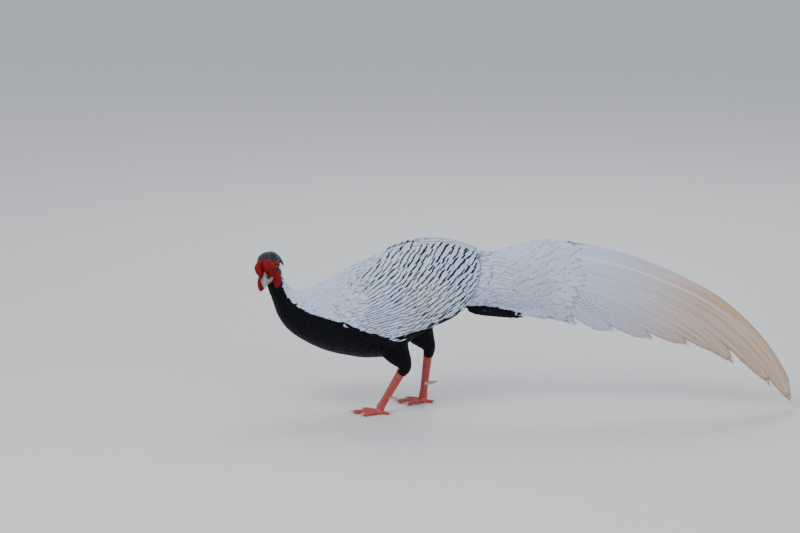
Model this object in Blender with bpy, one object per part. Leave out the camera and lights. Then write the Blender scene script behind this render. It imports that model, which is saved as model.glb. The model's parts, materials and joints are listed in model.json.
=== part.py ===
"""A silver pheasant cock at life size, walking with its head low and turned to its left.

Metres, +Z up. The bird walks towards -X, its left side faces -Y, and its tail streams to +X.
Both feet stand flat on the floor, and the origin is the middle of its box, at floor level.
"""

import math
import random

import bmesh
import bpy
import numpy as np
from mathutils import Vector

GAP = 0.0003
CUT_GAP = 0.00036
MERGE = 0.000002
SEED = 7

# The line of the body from the rump to the nape: x, y, z of a section's middle, its half height,
# its half width, and how far the section's top leans back, in degrees.
BODY_LINE = [
    (-0.0890, 0.0, 0.2425, 0.0500, 0.037, 11),
    (-0.116, 0.0, 0.2405, 0.0620, 0.047, 9),
    (-0.147, 0.0, 0.2355, 0.0735, 0.055, 7),
    (-0.182, 0.0, 0.2250, 0.0848, 0.062, 6),
    (-0.216, 0.0, 0.2115, 0.0945, 0.066, 5),
    (-0.249, 0.0, 0.1975, 0.0990, 0.067, 3),
    (-0.284, 0.0, 0.1882, 0.0942, 0.065, 2),
    (-0.319, 0.0, 0.1835, 0.0848, 0.061, 4),
    (-0.352, 0.0, 0.1800, 0.0732, 0.055, 8),
    (-0.380, 0.0, 0.1795, 0.0600, 0.047, 12),
    (-0.402, 0.0, 0.1810, 0.0490, 0.040, 15),
    (-0.420, -0.001, 0.1870, 0.0395, 0.0335, 20),
    (-0.433, -0.003, 0.1990, 0.0295, 0.0275, 34),
    (-0.4415, -0.006, 0.2150, 0.0228, 0.0225, 46),
    (-0.448, -0.010, 0.2300, 0.0202, 0.0200, 52),
    (-0.454, -0.015, 0.2440, 0.0180, 0.0180, 55),
]
NECK_START = 10.0
NECK_END = 14.9
BODY_SIDES = 22
BACK_NARROWING = 0.10

# The folded wing covers the side from the ridge of the back to below the flank. Rows: the station
# on the body line, and the angles from the ridge at which the wing starts and ends there.
WING_EDGES = [
    (0.05, 7, 138),
    (1.0, 6, 146),
    (2.0, 6, 148),
    (3.0, 8, 143),
    (4.0, 13, 137),
    (5.0, 21, 130),
    (6.0, 33, 117),
    (7.0, 50, 100),
    (7.7, 68, 84),
]
WING_LIFT = 0.0042
WING_SINK = 0.014
WING_COLUMNS = 13
WING_ROWS = 7
FLANK_FLARE = 0.38

# Wing feathers in tiers: station of the roots, station of the tips, count, half width,
# height of the tips above the wing, and the share of the wing's height that they cover.
WING_TIERS = [
    (3.9, 0.12, 8, 0.0108, 0.0016, (0.05, 0.96)),
    (5.3, 2.7, 7, 0.0108, 0.0030, (0.08, 0.94)),
    (6.6, 4.5, 4, 0.0102, 0.0028, (0.16, 0.86)),
]
WING_VANE = 0.0007
WING_VANE_PARTS = 4
VANE_ROLL = 0.0008

# The ridge of the tail, x and z, from the rump to the tip of the longest feather.
TAIL_RIDGE = [
    (-0.0756, 0.2926),
    (-0.0252, 0.2981),
    (0.0162, 0.3095),
    (0.0702, 0.3095),
    (0.1332, 0.2995),
    (0.2052, 0.2785),
    (0.2772, 0.2475),
    (0.3330, 0.2180),
    (0.3760, 0.1860),
    (0.4120, 0.1520),
    (0.4440, 0.1130),
    (0.4680, 0.0760),
    (0.4900, 0.0304),
    (0.4990, 0.0080),
]
# The tail's cross-section along the ridge: distance, half height and half width.
TAIL_SECTION = [
    (0.0, 0.048, 0.036),
    (0.05, 0.056, 0.032),
    (0.085, 0.066, 0.030),
    (0.15, 0.075, 0.027),
    (0.21, 0.078, 0.025),
    (0.29, 0.077, 0.023),
    (0.36, 0.071, 0.021),
    (0.435, 0.063, 0.019),
    (0.50, 0.054, 0.017),
    (0.56, 0.042, 0.014),
    (0.62, 0.033, 0.011),
    (0.70, 0.022, 0.008),
]
RUMP_LENGTH = 0.050
# The solid root of the tail, which holds the quills: distance along the ridge, and its lift.
TAIL_CORE = [(0.050, 0.0004), (0.064, 0.0002), (0.080, -0.006), (0.098, -0.0125)]
QUILL_START = 0.058
ROOT_DEPTH = 0.024
ROOT_STEP = 0.0085
LAYER = 0.0012
TAIL_VANE = 0.0006
RIDGE_GAP = 0.0004
# Tail feathers from the middle pair outwards: reach along the ridge, depth of the tip below it,
# half width, and how many lengths the feather is built from.
TAIL_FEATHERS = [
    (0.674, 0.014, 0.0265, 9),
    (0.628, 0.036, 0.0255, 8),
    (0.530, 0.056, 0.0240, 7),
    (0.500, 0.080, 0.0235, 6),
    (0.438, 0.103, 0.0225, 6),
    (0.358, 0.124, 0.0215, 5),
    (0.274, 0.138, 0.0205, 4),
    (0.182, 0.139, 0.0185, 3),
]
# Upper tail coverts in tiers: layer outside the tail, reach along the ridge, count on each side.
COVERT_TIERS = [(2, 0.132, 4), (1, 0.196, 3)]
COVERT_BASE = 0.0013
COVERT_LAYER = 0.0019
COVERT_ROLL = 0.0005
UNDERTAIL_ROOT = (-0.108, 0.189)
UNDERTAIL_TIP = (-0.003, 0.1785)
UNDERTAIL_COUNT = 5
# Its core: half length as a share of the whole, half width and half height.
UNDERTAIL_CORE = (0.40, 0.0193, 0.0115)
UNDERTAIL_FAN = 0.0166
UNDERTAIL_VANE = 0.0085
UNDERTAIL_SAG = 0.010

# The head: its middle, and how it is turned. The bill points at the bird's left and down.
HEAD_CENTRE = (-0.4614, -0.020, 0.2590)
HEAD_TURN = 15
HEAD_NOD = 18
HEAD_TILT = -8
# The skull from the nape to the bill: forward, half width, half height, height of the middle.
SKULL = [
    (-0.0265, 0.0060, 0.0060, 0.0010),
    (-0.0235, 0.0110, 0.0115, 0.0010),
    (-0.0170, 0.0160, 0.0165, 0.0008),
    (-0.0080, 0.0185, 0.0190, 0.0000),
    (0.0020, 0.0188, 0.0193, -0.0006),
    (0.0110, 0.0168, 0.0172, -0.0018),
    (0.0185, 0.0138, 0.0142, -0.0032),
    (0.0240, 0.0112, 0.0116, -0.0044),
]
EYE = (0.0055, 0.0178, 0.0060)
EYE_RADIUS = 0.0060
EYE_CAP = 1.35
BILL_START = 0.0170
BILL_LENGTH = 0.0265
BILL_HALF_WIDTH = 0.0122
BILL_TOP = 0.0105
BILL_DROP = 0.0200
MOUTH_HEIGHT = -0.0050
MOUTH_GAP = 0.0005
NOSTRIL = (0.0255, 0.0082, 0.0010)
NOSTRIL_SIZES = (0.0028, 0.0022, 0.0013)
# Lobes of the red face on each side: forward, sideways, up, and their half sizes that way.
FACE_LOBES = [
    (0.0110, 0.0090, 0.0140, 0.0125, 0.0108, 0.0142),
    (-0.0040, 0.0148, 0.0135, 0.0130, 0.0085, 0.0105),
    (0.0150, 0.0158, -0.0055, 0.0085, 0.0072, 0.0100),
    (0.0030, 0.0182, -0.0195, 0.0125, 0.0080, 0.0168),
    (-0.0060, 0.0165, -0.0095, 0.0105, 0.0075, 0.0140),
]
LID_RADIUS = 0.0070
LID_THICK = 0.0012
LID_FLATTEN = 0.84
CREST_CAP = (-0.0160, 0.0, 0.0150, 0.0215, 0.0185, 0.0150)
CREST_LOCKS = 8
CREST_LENGTH = 0.050

# Legs: the ankle, the ball of the foot and the middle of the thigh, x, y, z. Left is at -Y.
LEGS = {
    "left": {
        "thigh": (-0.2410, -0.034, 0.138),
        "ankle": (-0.2090, -0.037, 0.0815),
        "ball": (-0.2645, -0.042, 0.0085),
        "heading": 176,
    },
    "right": {
        "thigh": (-0.2000, 0.034, 0.152),
        "ankle": (-0.1745, 0.037, 0.1040),
        "ball": (-0.1850, 0.042, 0.0085),
        "heading": 184,
    },
}
THIGH_RADIUS = 0.0270
BOOT_RADIUS = 0.0098
BOOT_DROP = 0.16
SHANK_RADII = (0.0060, 0.0050)
SHANK_SCUTES = 8
SCUTE_RISE = 0.00045
SPUR_AT = 0.62
SPUR_LENGTH = 0.0190
SPUR_RADIUS = 0.0030
# Toes: heading from the foot's own, length to the claw, thickness and claw length.
TOES = {
    "middle": (0, 0.047, 0.0046, 0.0105),
    "inner": (36, 0.034, 0.0043, 0.0090),
    "outer": (-36, 0.037, 0.0043, 0.0090),
    "hind": (176, 0.0185, 0.0038, 0.0085),
}
TOE_HEIGHT = 0.0040
SOLE_SIZES = (0.0072, 0.0064, 0.0074)

COLOURS = {
    "white_plumage": ((0.78, 0.80, 0.86, 1), 0.75),
    "black_plumage": ((0.012, 0.013, 0.022, 1), 0.55),
    "red_face": ((0.55, 0.012, 0.015, 1), 0.5),
    "horn_bill": ((0.62, 0.62, 0.55, 1), 0.4),
    "eye_brown": ((0.05, 0.02, 0.01, 1), 0.08),
    "red_leg": ((0.55, 0.07, 0.06, 1), 0.45),
    "cream_tail": ((0.80, 0.76, 0.70, 1), 0.75),
}


def clear_scene():
    for obj in list(bpy.data.objects):
        bpy.data.objects.remove(obj)


def material(name):
    """The Principled material of one of the bird's colours."""
    found = bpy.data.materials.get(name)
    if found:
        return found
    colour, roughness = COLOURS[name]
    found = bpy.data.materials.new(name)
    found.use_nodes = True
    shader = found.node_tree.nodes["Principled BSDF"]
    shader.inputs["Base Color"].default_value = colour
    shader.inputs["Roughness"].default_value = roughness
    shader.inputs["Metallic"].default_value = 0.0
    return found


def mix(low, high, share):
    return low + (high - low) * share


def smooth(share):
    share = min(1.0, max(0.0, share))
    return share * share * (3 - 2 * share)


def along(rows, place):
    """Rows of numbers read at a place between them, on a Catmull-Rom curve."""
    rows = np.array(rows, float)
    i = int(min(max(math.floor(place), 0), len(rows) - 2))
    t = place - i
    a = rows[i - 1] if i > 0 else 2 * rows[0] - rows[1]
    b, c = rows[i], rows[i + 1]
    d = rows[i + 2] if i + 2 < len(rows) else 2 * rows[-1] - rows[-2]
    return 0.5 * (2 * b + (c - a) * t + (2 * a - 5 * b + 4 * c - d) * t**2 + (3 * b - a - 3 * c + d) * t**3)


def lookup(rows, key):
    """The other columns of a table at a value of its first column, by straight lines."""
    table = np.array(rows, float)
    return [float(np.interp(key, table[:, 0], table[:, k])) for k in range(1, table.shape[1])]


def unit(vector):
    vector = np.asarray(vector, float)
    return vector / np.linalg.norm(vector)


def new_object(name, points, faces, colour):
    mesh = bpy.data.meshes.new(name)
    mesh.from_pydata([tuple(float(c) for c in p) for p in points], [], faces)
    mesh.validate()
    obj = bpy.data.objects.new(name, mesh)
    bpy.context.scene.collection.objects.link(obj)
    face_outwards(obj)
    obj.data.materials.append(material(colour))
    return obj


def face_outwards(obj):
    body = bmesh.new()
    body.from_mesh(obj.data)
    bmesh.ops.recalc_face_normals(body, faces=body.faces)
    if body.calc_volume(signed=True) < 0:
        bmesh.ops.reverse_faces(body, faces=body.faces)
    body.to_mesh(obj.data)
    body.free()


def loft(name, rings, colour):
    """A closed solid through rings of equally many points, with flat ends."""
    count = len(rings[0])
    points = [p for ring in rings for p in ring]
    faces = []
    for r in range(len(rings) - 1):
        for k in range(count):
            a, b = r * count + k, r * count + (k + 1) % count
            faces += [(a, b, b + count), (a, b + count, a + count)]
    last = (len(rings) - 1) * count
    faces.append(tuple(range(count))[::-1])
    faces.append(tuple(range(last, last + count)))
    return new_object(name, points, faces, colour)


def thin_sheet(name, rows, normals, thickness, colour):
    """A closed thin solid on rows of middle points, its two faces split alike."""
    across = len(rows[0])
    points = []
    for row, normal_row in zip(rows, normals):
        for side in (0.5, -0.5):
            points += [np.asarray(p) + side * thickness * np.asarray(n) for p, n in zip(row, normal_row)]
    ring = 2 * across
    faces = []
    for r in range(len(rows) - 1):
        top, next_top = r * ring, (r + 1) * ring
        for k in range(across - 1):
            a, b, c, d = top + k, top + k + 1, next_top + k + 1, next_top + k
            faces += [(a, b, c), (a, c, d)]
            a, b, c, d = (n + across for n in (a, b, c, d))
            faces += [(a, c, b), (a, d, c)]
        for k in (0, across - 1):
            a, d = top + k, next_top + k
            faces += [(a, d, d + across), (a, d + across, a + across)]
    for start in (0, (len(rows) - 1) * ring):
        for k in range(across - 1):
            a, b = start + k, start + k + 1
            faces += [(a, b, b + across), (a, b + across, a + across)]
    return new_object(name, points, faces, colour)


def ball(name, centre, sizes, axes, colour, around=12, rings=8):
    """An ellipsoid with its own axes."""
    points = [np.asarray(centre) + np.asarray(axes[2]) * sizes[2]]
    for r in range(1, rings):
        polar = math.pi * r / rings
        for k in range(around):
            turn = 2 * math.pi * k / around
            local = (math.sin(polar) * math.cos(turn), math.sin(polar) * math.sin(turn), math.cos(polar))
            offset = sum(np.asarray(a) * s * c for a, s, c in zip(axes, sizes, local))
            points.append(np.asarray(centre) + offset)
    points.append(np.asarray(centre) - np.asarray(axes[2]) * sizes[2])
    faces = []
    for k in range(around):
        nxt = (k + 1) % around
        faces.append((0, 1 + k, 1 + nxt))
        for r in range(rings - 2):
            a, b = 1 + r * around + k, 1 + r * around + nxt
            faces += [(a, a + around, b + around), (a, b + around, b)]
        low = 1 + (rings - 2) * around
        faces.append((low + k, len(points) - 1, low + nxt))
    return new_object(name, points, faces, colour)


def keep_largest(obj):
    """Drops all but the largest closed surface of a mesh."""
    body = bmesh.new()
    body.from_mesh(obj.data)
    bmesh.ops.remove_doubles(body, verts=body.verts, dist=MERGE)
    bmesh.ops.dissolve_degenerate(body, dist=MERGE, edges=body.edges)
    left, groups = set(body.faces), []
    while left:
        group, todo = set(), [left.pop()]
        while todo:
            face = todo.pop()
            group.add(face)
            for edge in face.edges:
                others = [f for f in edge.link_faces if f in left and len(edge.link_faces) == 2]
                left.difference_update(others)
                todo += others
        groups.append(group)
    best = max(groups, key=lambda g: sum(f.calc_area() for f in g))
    drop = [f for g in groups if g is not best for f in g]
    bmesh.ops.delete(body, geom=drop, context="FACES")
    loose = [v for v in body.verts if not v.link_faces]
    bmesh.ops.delete(body, geom=loose, context="VERTS")
    bmesh.ops.triangulate(body, faces=body.faces)
    bmesh.ops.recalc_face_normals(body, faces=body.faces)
    body.to_mesh(obj.data)
    body.free()


def apply_boolean(obj, operation, others, solver="EXACT"):
    """Joins others to a mesh, or cuts them from it, and removes them."""
    group = bpy.data.collections.new("operands")
    bpy.context.scene.collection.children.link(group)
    for other in others:
        group.objects.link(other)
    step = obj.modifiers.new("join", "BOOLEAN")
    step.operation = operation
    step.operand_type = "COLLECTION"
    step.collection = group
    step.solver = solver
    graph = bpy.context.evaluated_depsgraph_get()
    made = bpy.data.meshes.new_from_object(obj.evaluated_get(graph))
    obj.modifiers.clear()
    obj.data = made
    for other in others:
        bpy.data.objects.remove(other)
    bpy.data.collections.remove(group)
    keep_largest(obj)


def fuse(obj, others, solver="EXACT"):
    apply_boolean(obj, "UNION", others, solver)
    return obj


def grow(obj, by=CUT_GAP):
    """Pushes a plain solid out by the gap that neighbours keep."""
    body = bmesh.new()
    body.from_mesh(obj.data)
    body.normal_update()
    moves = [(v, v.normal * (by * min(1.6, v.calc_shell_factor()))) for v in body.verts]
    for v, move in moves:
        v.co += move
    body.to_mesh(obj.data)
    body.free()
    return obj


def cut_clear(obj, makers, solver="EXACT"):
    """Cuts away what would touch the plain solids that the makers build."""
    for maker in makers:
        cutters = maker()
        for cutter in cutters:
            grow(cutter)
        apply_boolean(obj, "DIFFERENCE", cutters, solver)
    return obj


def finish(obj, angle=40):
    obj.data.shade_smooth()
    obj.data.set_sharp_from_angle(angle=math.radians(angle))
    return obj


# Body and neck


def body_section(station):
    x, y, z, half_height, half_width, lean = along(BODY_LINE, station)
    lean = math.radians(lean)
    up = np.array([math.sin(lean), 0.0, math.cos(lean)])
    return np.array([x, y, z]), up, half_height, half_width


def body_point(station, angle, lift=0.0, side=1):
    """A point on the plumage at an angle from the ridge of the back."""
    middle, up, half_height, half_width = body_section(station)
    narrow = 1 - BACK_NARROWING * math.cos(angle)
    out = (half_width * narrow + lift) * math.sin(angle) * side
    return middle + up * (half_height + lift) * math.cos(angle) + np.array([0.0, out, 0.0])


def body_ring(station, shift=(0.0, 0.0, 0.0)):
    turns = [2 * math.pi * k / BODY_SIDES for k in range(BODY_SIDES)]
    return [body_point(station, turn) + np.array(shift) for turn in turns]


def torso_solids():
    stations = np.linspace(0, NECK_START, 17)
    return [loft("torso", [body_ring(s) for s in stations], "black_plumage")]


def neck_solids():
    stations = np.linspace(NECK_START, NECK_END, 8)
    ahead = unit(body_section(NECK_START + 0.1)[0] - body_section(NECK_START)[0])
    rings = [body_ring(NECK_START, ahead * GAP)]
    rings += [body_ring(s) for s in stations[1:]]
    return [loft("neck", rings, "white_plumage")]


# Wings


def wing_angle(station, share):
    top, low = lookup(WING_EDGES, station)
    return math.radians(mix(top, low, share))


def wing_point(station, share, lift, side):
    """A point over the folded wing, which hangs nearly straight below the widest part."""
    angle = wing_angle(station, share)
    middle, up, half_height, half_width = body_section(station)
    round_off = math.sin(angle) ** FLANK_FLARE if angle > math.pi / 2 else math.sin(angle)
    narrow = 1 - BACK_NARROWING * math.cos(angle)
    out = (half_width * narrow * round_off + lift * math.sin(angle) ** 0.3) * side
    rise = (half_height + lift * max(0.0, math.cos(angle))) * math.cos(angle)
    return middle + up * rise + np.array([0.0, out, 0.0])


def wing_height(station, share):
    """How far the wing's own flesh stands over the body."""
    ends = smooth((7.7 - station) / 1.4) * mix(0.75, 1.0, smooth(station / 1.5))
    sides = mix(0.35, 1.0, math.sin(math.pi * min(1.0, max(0.0, share))) ** 0.6)
    return WING_LIFT * ends * sides


def wing_core(name, side):
    points, faces = [], []
    stations = np.linspace(WING_EDGES[0][0], WING_EDGES[-1][0], WING_COLUMNS)
    shares = np.linspace(0, 1, WING_ROWS)
    for station in stations:
        points += [wing_point(station, share, wing_height(station, share), side) for share in shares]
    for station in stations:
        points += [body_point(station, wing_angle(station, share), -WING_SINK, side) for share in shares]
    size = WING_COLUMNS * WING_ROWS
    for c in range(WING_COLUMNS - 1):
        for r in range(WING_ROWS - 1):
            a = c * WING_ROWS + r
            quad = (a, a + 1, a + WING_ROWS + 1, a + WING_ROWS)
            faces.append(quad)
            faces.append(tuple(n + size for n in quad[::-1]))
    rim = [c * WING_ROWS for c in range(WING_COLUMNS)]
    rim += [(WING_COLUMNS - 1) * WING_ROWS + r for r in range(1, WING_ROWS)]
    rim += [c * WING_ROWS + WING_ROWS - 1 for c in range(WING_COLUMNS - 2, -1, -1)]
    rim += list(range(WING_ROWS - 2, 0, -1))
    for a, b in zip(rim, rim[1:] + rim[:1]):
        faces.append((a, b, b + size, a + size))
    return new_object(name, points, faces, "white_plumage")


def vane_width(share, start=0.45, full=0.35, tip=0.62, end=0.16):
    """The width of a feather along it, as a share of its widest: narrow quill, round tip."""
    base = mix(start, 1.0, smooth(share / full))
    if share <= tip:
        return base
    return base * max(end, math.sqrt(max(0.0, 1 - ((share - tip) / (1 - tip)) ** 2)))


def wing_vane(side, root, tip, share, half_width, rise):
    """One feather on the wing, from its root sunk in the wing to its free tip."""
    rows, normals = [], []
    steps = np.linspace(0, 1, WING_VANE_PARTS + 1)
    for step in steps:
        station = mix(root, tip, step)
        height = wing_height(station, share) + mix(-0.0016, rise, step**0.8)
        here = wing_point(station, share, height, side)
        ahead = wing_point(station - 0.02, share, height, side)
        below = wing_point(station, share + 0.01, height, side)
        flow, down = unit(ahead - here), unit(below - here)
        out = unit(np.cross(down, flow)) * side
        if out[1] * side < 0 and share > 0.15:
            out = -out
        if share <= 0.15 and out[2] < 0:
            out = -out
        down = unit(np.cross(out, flow))
        if down[2] > 0:
            down = -down
        width = half_width * vane_width(step)
        lean = out * VANE_ROLL * width / half_width
        rows.append([here - down * width - lean, here + down * width + lean])
        normals.append([out, out])
    return thin_sheet("vane", rows, normals, WING_VANE, "white_plumage")


def make_wing(side_name, side):
    chance = random.Random(SEED)
    wing = wing_core("wing_" + side_name, side)
    vanes = []
    for root, tip, count, half_width, rise, (first, last) in WING_TIERS:
        for k in range(count):
            share = mix(first, last, k / (count - 1))
            uneven = chance.uniform(-0.10, 0.10)
            vanes.append(wing_vane(side, root + uneven, tip + uneven * 0.6, share, half_width, rise))
    fuse(wing, vanes)
    return cut_clear(wing, [torso_solids, rump_solids])


# Tail


def ridge_curve():
    """The ridge sampled finely: points, and distance along it."""
    places = np.linspace(0, len(TAIL_RIDGE) - 1, 240)
    points = np.array([along(TAIL_RIDGE, p) for p in places])
    steps = np.linalg.norm(np.diff(points, axis=0), axis=1)
    return points, np.concatenate([[0], np.cumsum(steps)])


RIDGE_POINTS, RIDGE_DISTANCE = ridge_curve()


def ridge_at(distance):
    """The ridge's point and its downward normal at a distance along it."""
    reach = 0.006
    x, z = (np.interp(distance, RIDGE_DISTANCE, RIDGE_POINTS[:, k]) for k in (0, 1))
    ends = [
        [np.interp(distance + d, RIDGE_DISTANCE, RIDGE_POINTS[:, k]) for k in (0, 1)]
        for d in (-reach, reach)
    ]
    tangent = unit(np.subtract(ends[1], ends[0]))
    return np.array([x, 0.0, z]), np.array([tangent[1], 0.0, -tangent[0]])


def tail_point(distance, angle, lift, side):
    """A point of the tail's skin at an angle from the ridge, lifted outwards."""
    top, down = ridge_at(distance)
    half_height, half_width = lookup(TAIL_SECTION, distance)
    middle = top + down * half_height
    out = side * (half_width + lift) * math.sin(angle)
    return middle - down * (half_height + lift) * math.cos(angle) + np.array([0.0, out, 0.0])


def tail_normal(distance, angle, side):
    down = ridge_at(distance)[1]
    half_height, half_width = lookup(TAIL_SECTION, distance)
    normal = -down * math.cos(angle) / half_height
    normal = normal + np.array([0.0, side * math.sin(angle) / half_width, 0.0])
    return unit(normal)


def depth_angle(distance, depth):
    """The angle from the ridge at which the tail's skin lies that deep below it."""
    half_height = lookup(TAIL_SECTION, distance)[0]
    level = 1 - depth / half_height
    least = RIDGE_GAP / lookup(TAIL_SECTION, distance)[1]
    return max(least, math.acos(min(1.0, max(-0.95, level))))


def tail_ring(distance, lift, count=16):
    turns = [2 * math.pi * k / count for k in range(count)]
    return [tail_point(distance, turn, lift, 1) for turn in turns]


def tail_vane(name, side, start, reach, root_depth, tip_depth, half_width, parts, lift, roll, colour):
    """One tail feather on its own layer, from its root to its tip."""
    rows, normals = [], []
    for step in np.linspace(0, 1, parts + 1):
        distance = mix(start, reach, step)
        depth = mix(root_depth, tip_depth, smooth(step) * 0.5 + step * 0.5)
        width = half_width * vane_width(step, 0.5, 0.3, 0.72, 0.34)
        angles = [depth_angle(distance, max(0.0, depth + across * width)) for across in (-1, 0, 1)]
        rows.append([tail_point(distance, a, lift + roll * k, side) for a, k in zip(angles, (-1, 0, 1))])
        normals.append([tail_normal(distance, a, side) for a in angles])
    return thin_sheet(name, rows, normals, TAIL_VANE, colour)


def rump_solids():
    behind = unit(body_section(0)[0] - body_section(0.1)[0])
    first = body_ring(0, behind * GAP)
    rings = [first]
    for distance in (0.020, 0.036, RUMP_LENGTH):
        lift = mix(0.0, COVERT_BASE + 2.2 * COVERT_LAYER, smooth(distance / RUMP_LENGTH))
        rings.append(tail_ring(distance, lift, BODY_SIDES))
    return [loft("rump", rings, "white_plumage")]


def make_rump():
    rump = rump_solids()[0]
    vanes = []
    for layer, reach, count in COVERT_TIERS:
        for side in (-1, 1):
            for k in range(count):
                depth = mix(0.006, 0.082, k / (count - 1))
                tip = mix(0.010, 0.104, k / (count - 1))
                start = 0.033 + 0.003 * (2 - layer) + 0.0017 * k
                end = reach - 0.016 * abs(k / (count - 1) - 0.45)
                lift = COVERT_BASE + layer * COVERT_LAYER + 0.00017 * k
                shape = (start, end, depth, tip, 0.0178, 4, lift, COVERT_ROLL)
                vanes.append(tail_vane("covert", side, *shape, "white_plumage"))
    return fuse(rump, vanes)


def make_tail():
    ahead = unit(ridge_at(RUMP_LENGTH + 0.002)[0] - ridge_at(RUMP_LENGTH)[0])
    rings = [tail_ring(distance, lift) for distance, lift in TAIL_CORE]
    rings[0] = [p + ahead * GAP for p in rings[0]]
    tail = loft("tail", rings, "cream_tail")
    vanes = []
    for order, (reach, tip_depth, half_width, parts) in enumerate(TAIL_FEATHERS):
        root_depth = ROOT_DEPTH + ROOT_STEP * order
        shape = (QUILL_START, reach, root_depth, tip_depth, half_width, parts, -order * LAYER, 0.0)
        vanes += [tail_vane("rectrix", side, *shape, "cream_tail") for side in (-1, 1)]
    return fuse(tail, vanes)


def make_undertail():
    """The black feathers under the tail: a soft core and a fan of vanes over it."""
    root = np.array([UNDERTAIL_ROOT[0], 0.0, UNDERTAIL_ROOT[1]])
    tip = np.array([UNDERTAIL_TIP[0], 0.0, UNDERTAIL_TIP[1]])
    axis, across = unit(tip - root), np.array([0.0, 1.0, 0.0])
    out = np.cross(axis, across)
    length = np.linalg.norm(tip - root)
    half_length, half_width, half_height = UNDERTAIL_CORE
    sizes = (length * half_length, half_width, half_height)
    under = ball("undertail", root + axis * sizes[0], sizes, (axis, across, out), "black_plumage", 10, 6)
    vanes = []
    for k in range(UNDERTAIL_COUNT):
        spread = 2 * k / (UNDERTAIL_COUNT - 1) - 1
        end = length * (1 - 0.22 * abs(spread))
        rows = []
        for step in np.linspace(0.18, 1, 5):
            drop = UNDERTAIL_SAG * math.sin(math.pi * step) + 0.0009 * (k % 2) - 0.004 * abs(spread)
            here = root + axis * end * step + across * spread * UNDERTAIL_FAN - np.array([0, 0, drop])
            width = UNDERTAIL_VANE * vane_width(step, 0.6, 0.3, 0.6)
            rows.append([here - across * width, here + across * width])
        vanes.append(thin_sheet("under", rows, [[out, out]] * len(rows), 0.0008, "black_plumage"))
    fuse(under, vanes)
    return cut_clear(under, [torso_solids, rump_solids])


# Head


def head_axes():
    """Forward, left and up of the head as it is turned, nodded and tilted."""
    turn, nod, tilt = (math.radians(a) for a in (HEAD_TURN, HEAD_NOD, HEAD_TILT))
    forward = np.array([-math.sin(turn) * math.cos(nod), -math.cos(turn) * math.cos(nod), -math.sin(nod)])
    level_up = np.array([-math.sin(turn) * math.sin(nod), -math.cos(turn) * math.sin(nod), math.cos(nod)])
    level_left = np.cross(level_up, forward)
    up = level_up * math.cos(tilt) + level_left * math.sin(tilt)
    left = level_left * math.cos(tilt) - level_up * math.sin(tilt)
    return forward, left, up


FORWARD, LEFT, UP = head_axes()


def head_point(forward, left, up):
    return np.array(HEAD_CENTRE) + FORWARD * forward + LEFT * left + UP * up


def head_ball(name, place, sizes, colour, around=12, rings=8):
    return ball(name, head_point(*place), sizes, (FORWARD, LEFT, UP), colour, around, rings)


def head_solids():
    rings = []
    for place in np.linspace(0, len(SKULL) - 1, 10):
        forward, half_width, half_height, middle = along(SKULL, place)
        turns = [2 * math.pi * k / 16 for k in range(16)]
        places = [(half_width * math.sin(t), middle + half_height * math.cos(t)) for t in turns]
        rings.append([head_point(forward, left, up) for left, up in places])
    return [loft("head", rings, "red_face")]


def bill_section(share):
    """Half width, top and mouth height of the bill at a share of its length."""
    half_width = BILL_HALF_WIDTH * (1 - share) ** 0.55 * (1 - 0.20 * share) + 0.0006
    top = BILL_TOP - BILL_DROP * share**1.7
    mouth = MOUTH_HEIGHT - 0.0042 * share**1.6
    return half_width, max(top, mouth + 0.0009), mouth


def bill_half(name, upper):
    rings = []
    reach = 1.0 if upper else 0.86
    for share in np.linspace(0, 1, 8):
        half_width, top, mouth = bill_section(share * reach)
        forward = BILL_START + BILL_LENGTH * share * reach
        if upper:
            rise = top - mouth
            shape = [(0, 1.0), (0.42, 0.86), (0.80, 0.52), (1.0, 0.14), (0.96, 0.0)]
            ring = [(half_width * w, mouth + rise * h) for w, h in shape]
            ring += [(-half_width * w, mouth + rise * h) for w, h in shape[:0:-1]]
        else:
            fall = 0.0052 * (1 - share) ** 0.7 + 0.0008
            shape = [(0.90, 0.0), (0.88, 0.35), (0.60, 0.82), (0.0, 1.0)]
            level = mouth - MOUTH_GAP
            ring = [(half_width * w, level - fall * h) for w, h in shape]
            ring += [(-half_width * w, level - fall * h) for w, h in shape[-2::-1]]
        rings.append([head_point(forward, left, up) for left, up in ring])
    return loft(name, rings, "horn_bill")


def bill_solids():
    return [bill_half("bill_upper", True), bill_half("bill_lower", False)]


def make_bill():
    upper, lower = bill_solids()
    nostrils = [
        head_ball("nostril", (NOSTRIL[0], side * NOSTRIL[1], NOSTRIL[2]), NOSTRIL_SIZES, "horn_bill", 6, 4)
        for side in (-1, 1)
    ]
    apply_boolean(upper, "DIFFERENCE", nostrils)
    return cut_clear(upper, [head_solids]), cut_clear(lower, [head_solids])


def eye_solids(side):
    """The part of the eyeball that stands out of the skull."""
    rings = []
    for polar in (0.94, 0.62, 0.30, 0.06):
        turns = [2 * math.pi * k / 12 for k in range(12)]
        out = EYE[1] + EYE_RADIUS * math.cos(polar * EYE_CAP)
        radius = EYE_RADIUS * math.sin(polar * EYE_CAP)
        places = [(EYE[0] + radius * math.cos(t), EYE[2] + radius * math.sin(t)) for t in turns]
        rings.append([head_point(forward, side * out, up) for forward, up in places])
    return [loft("eye", rings, "eye_brown")]


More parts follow.
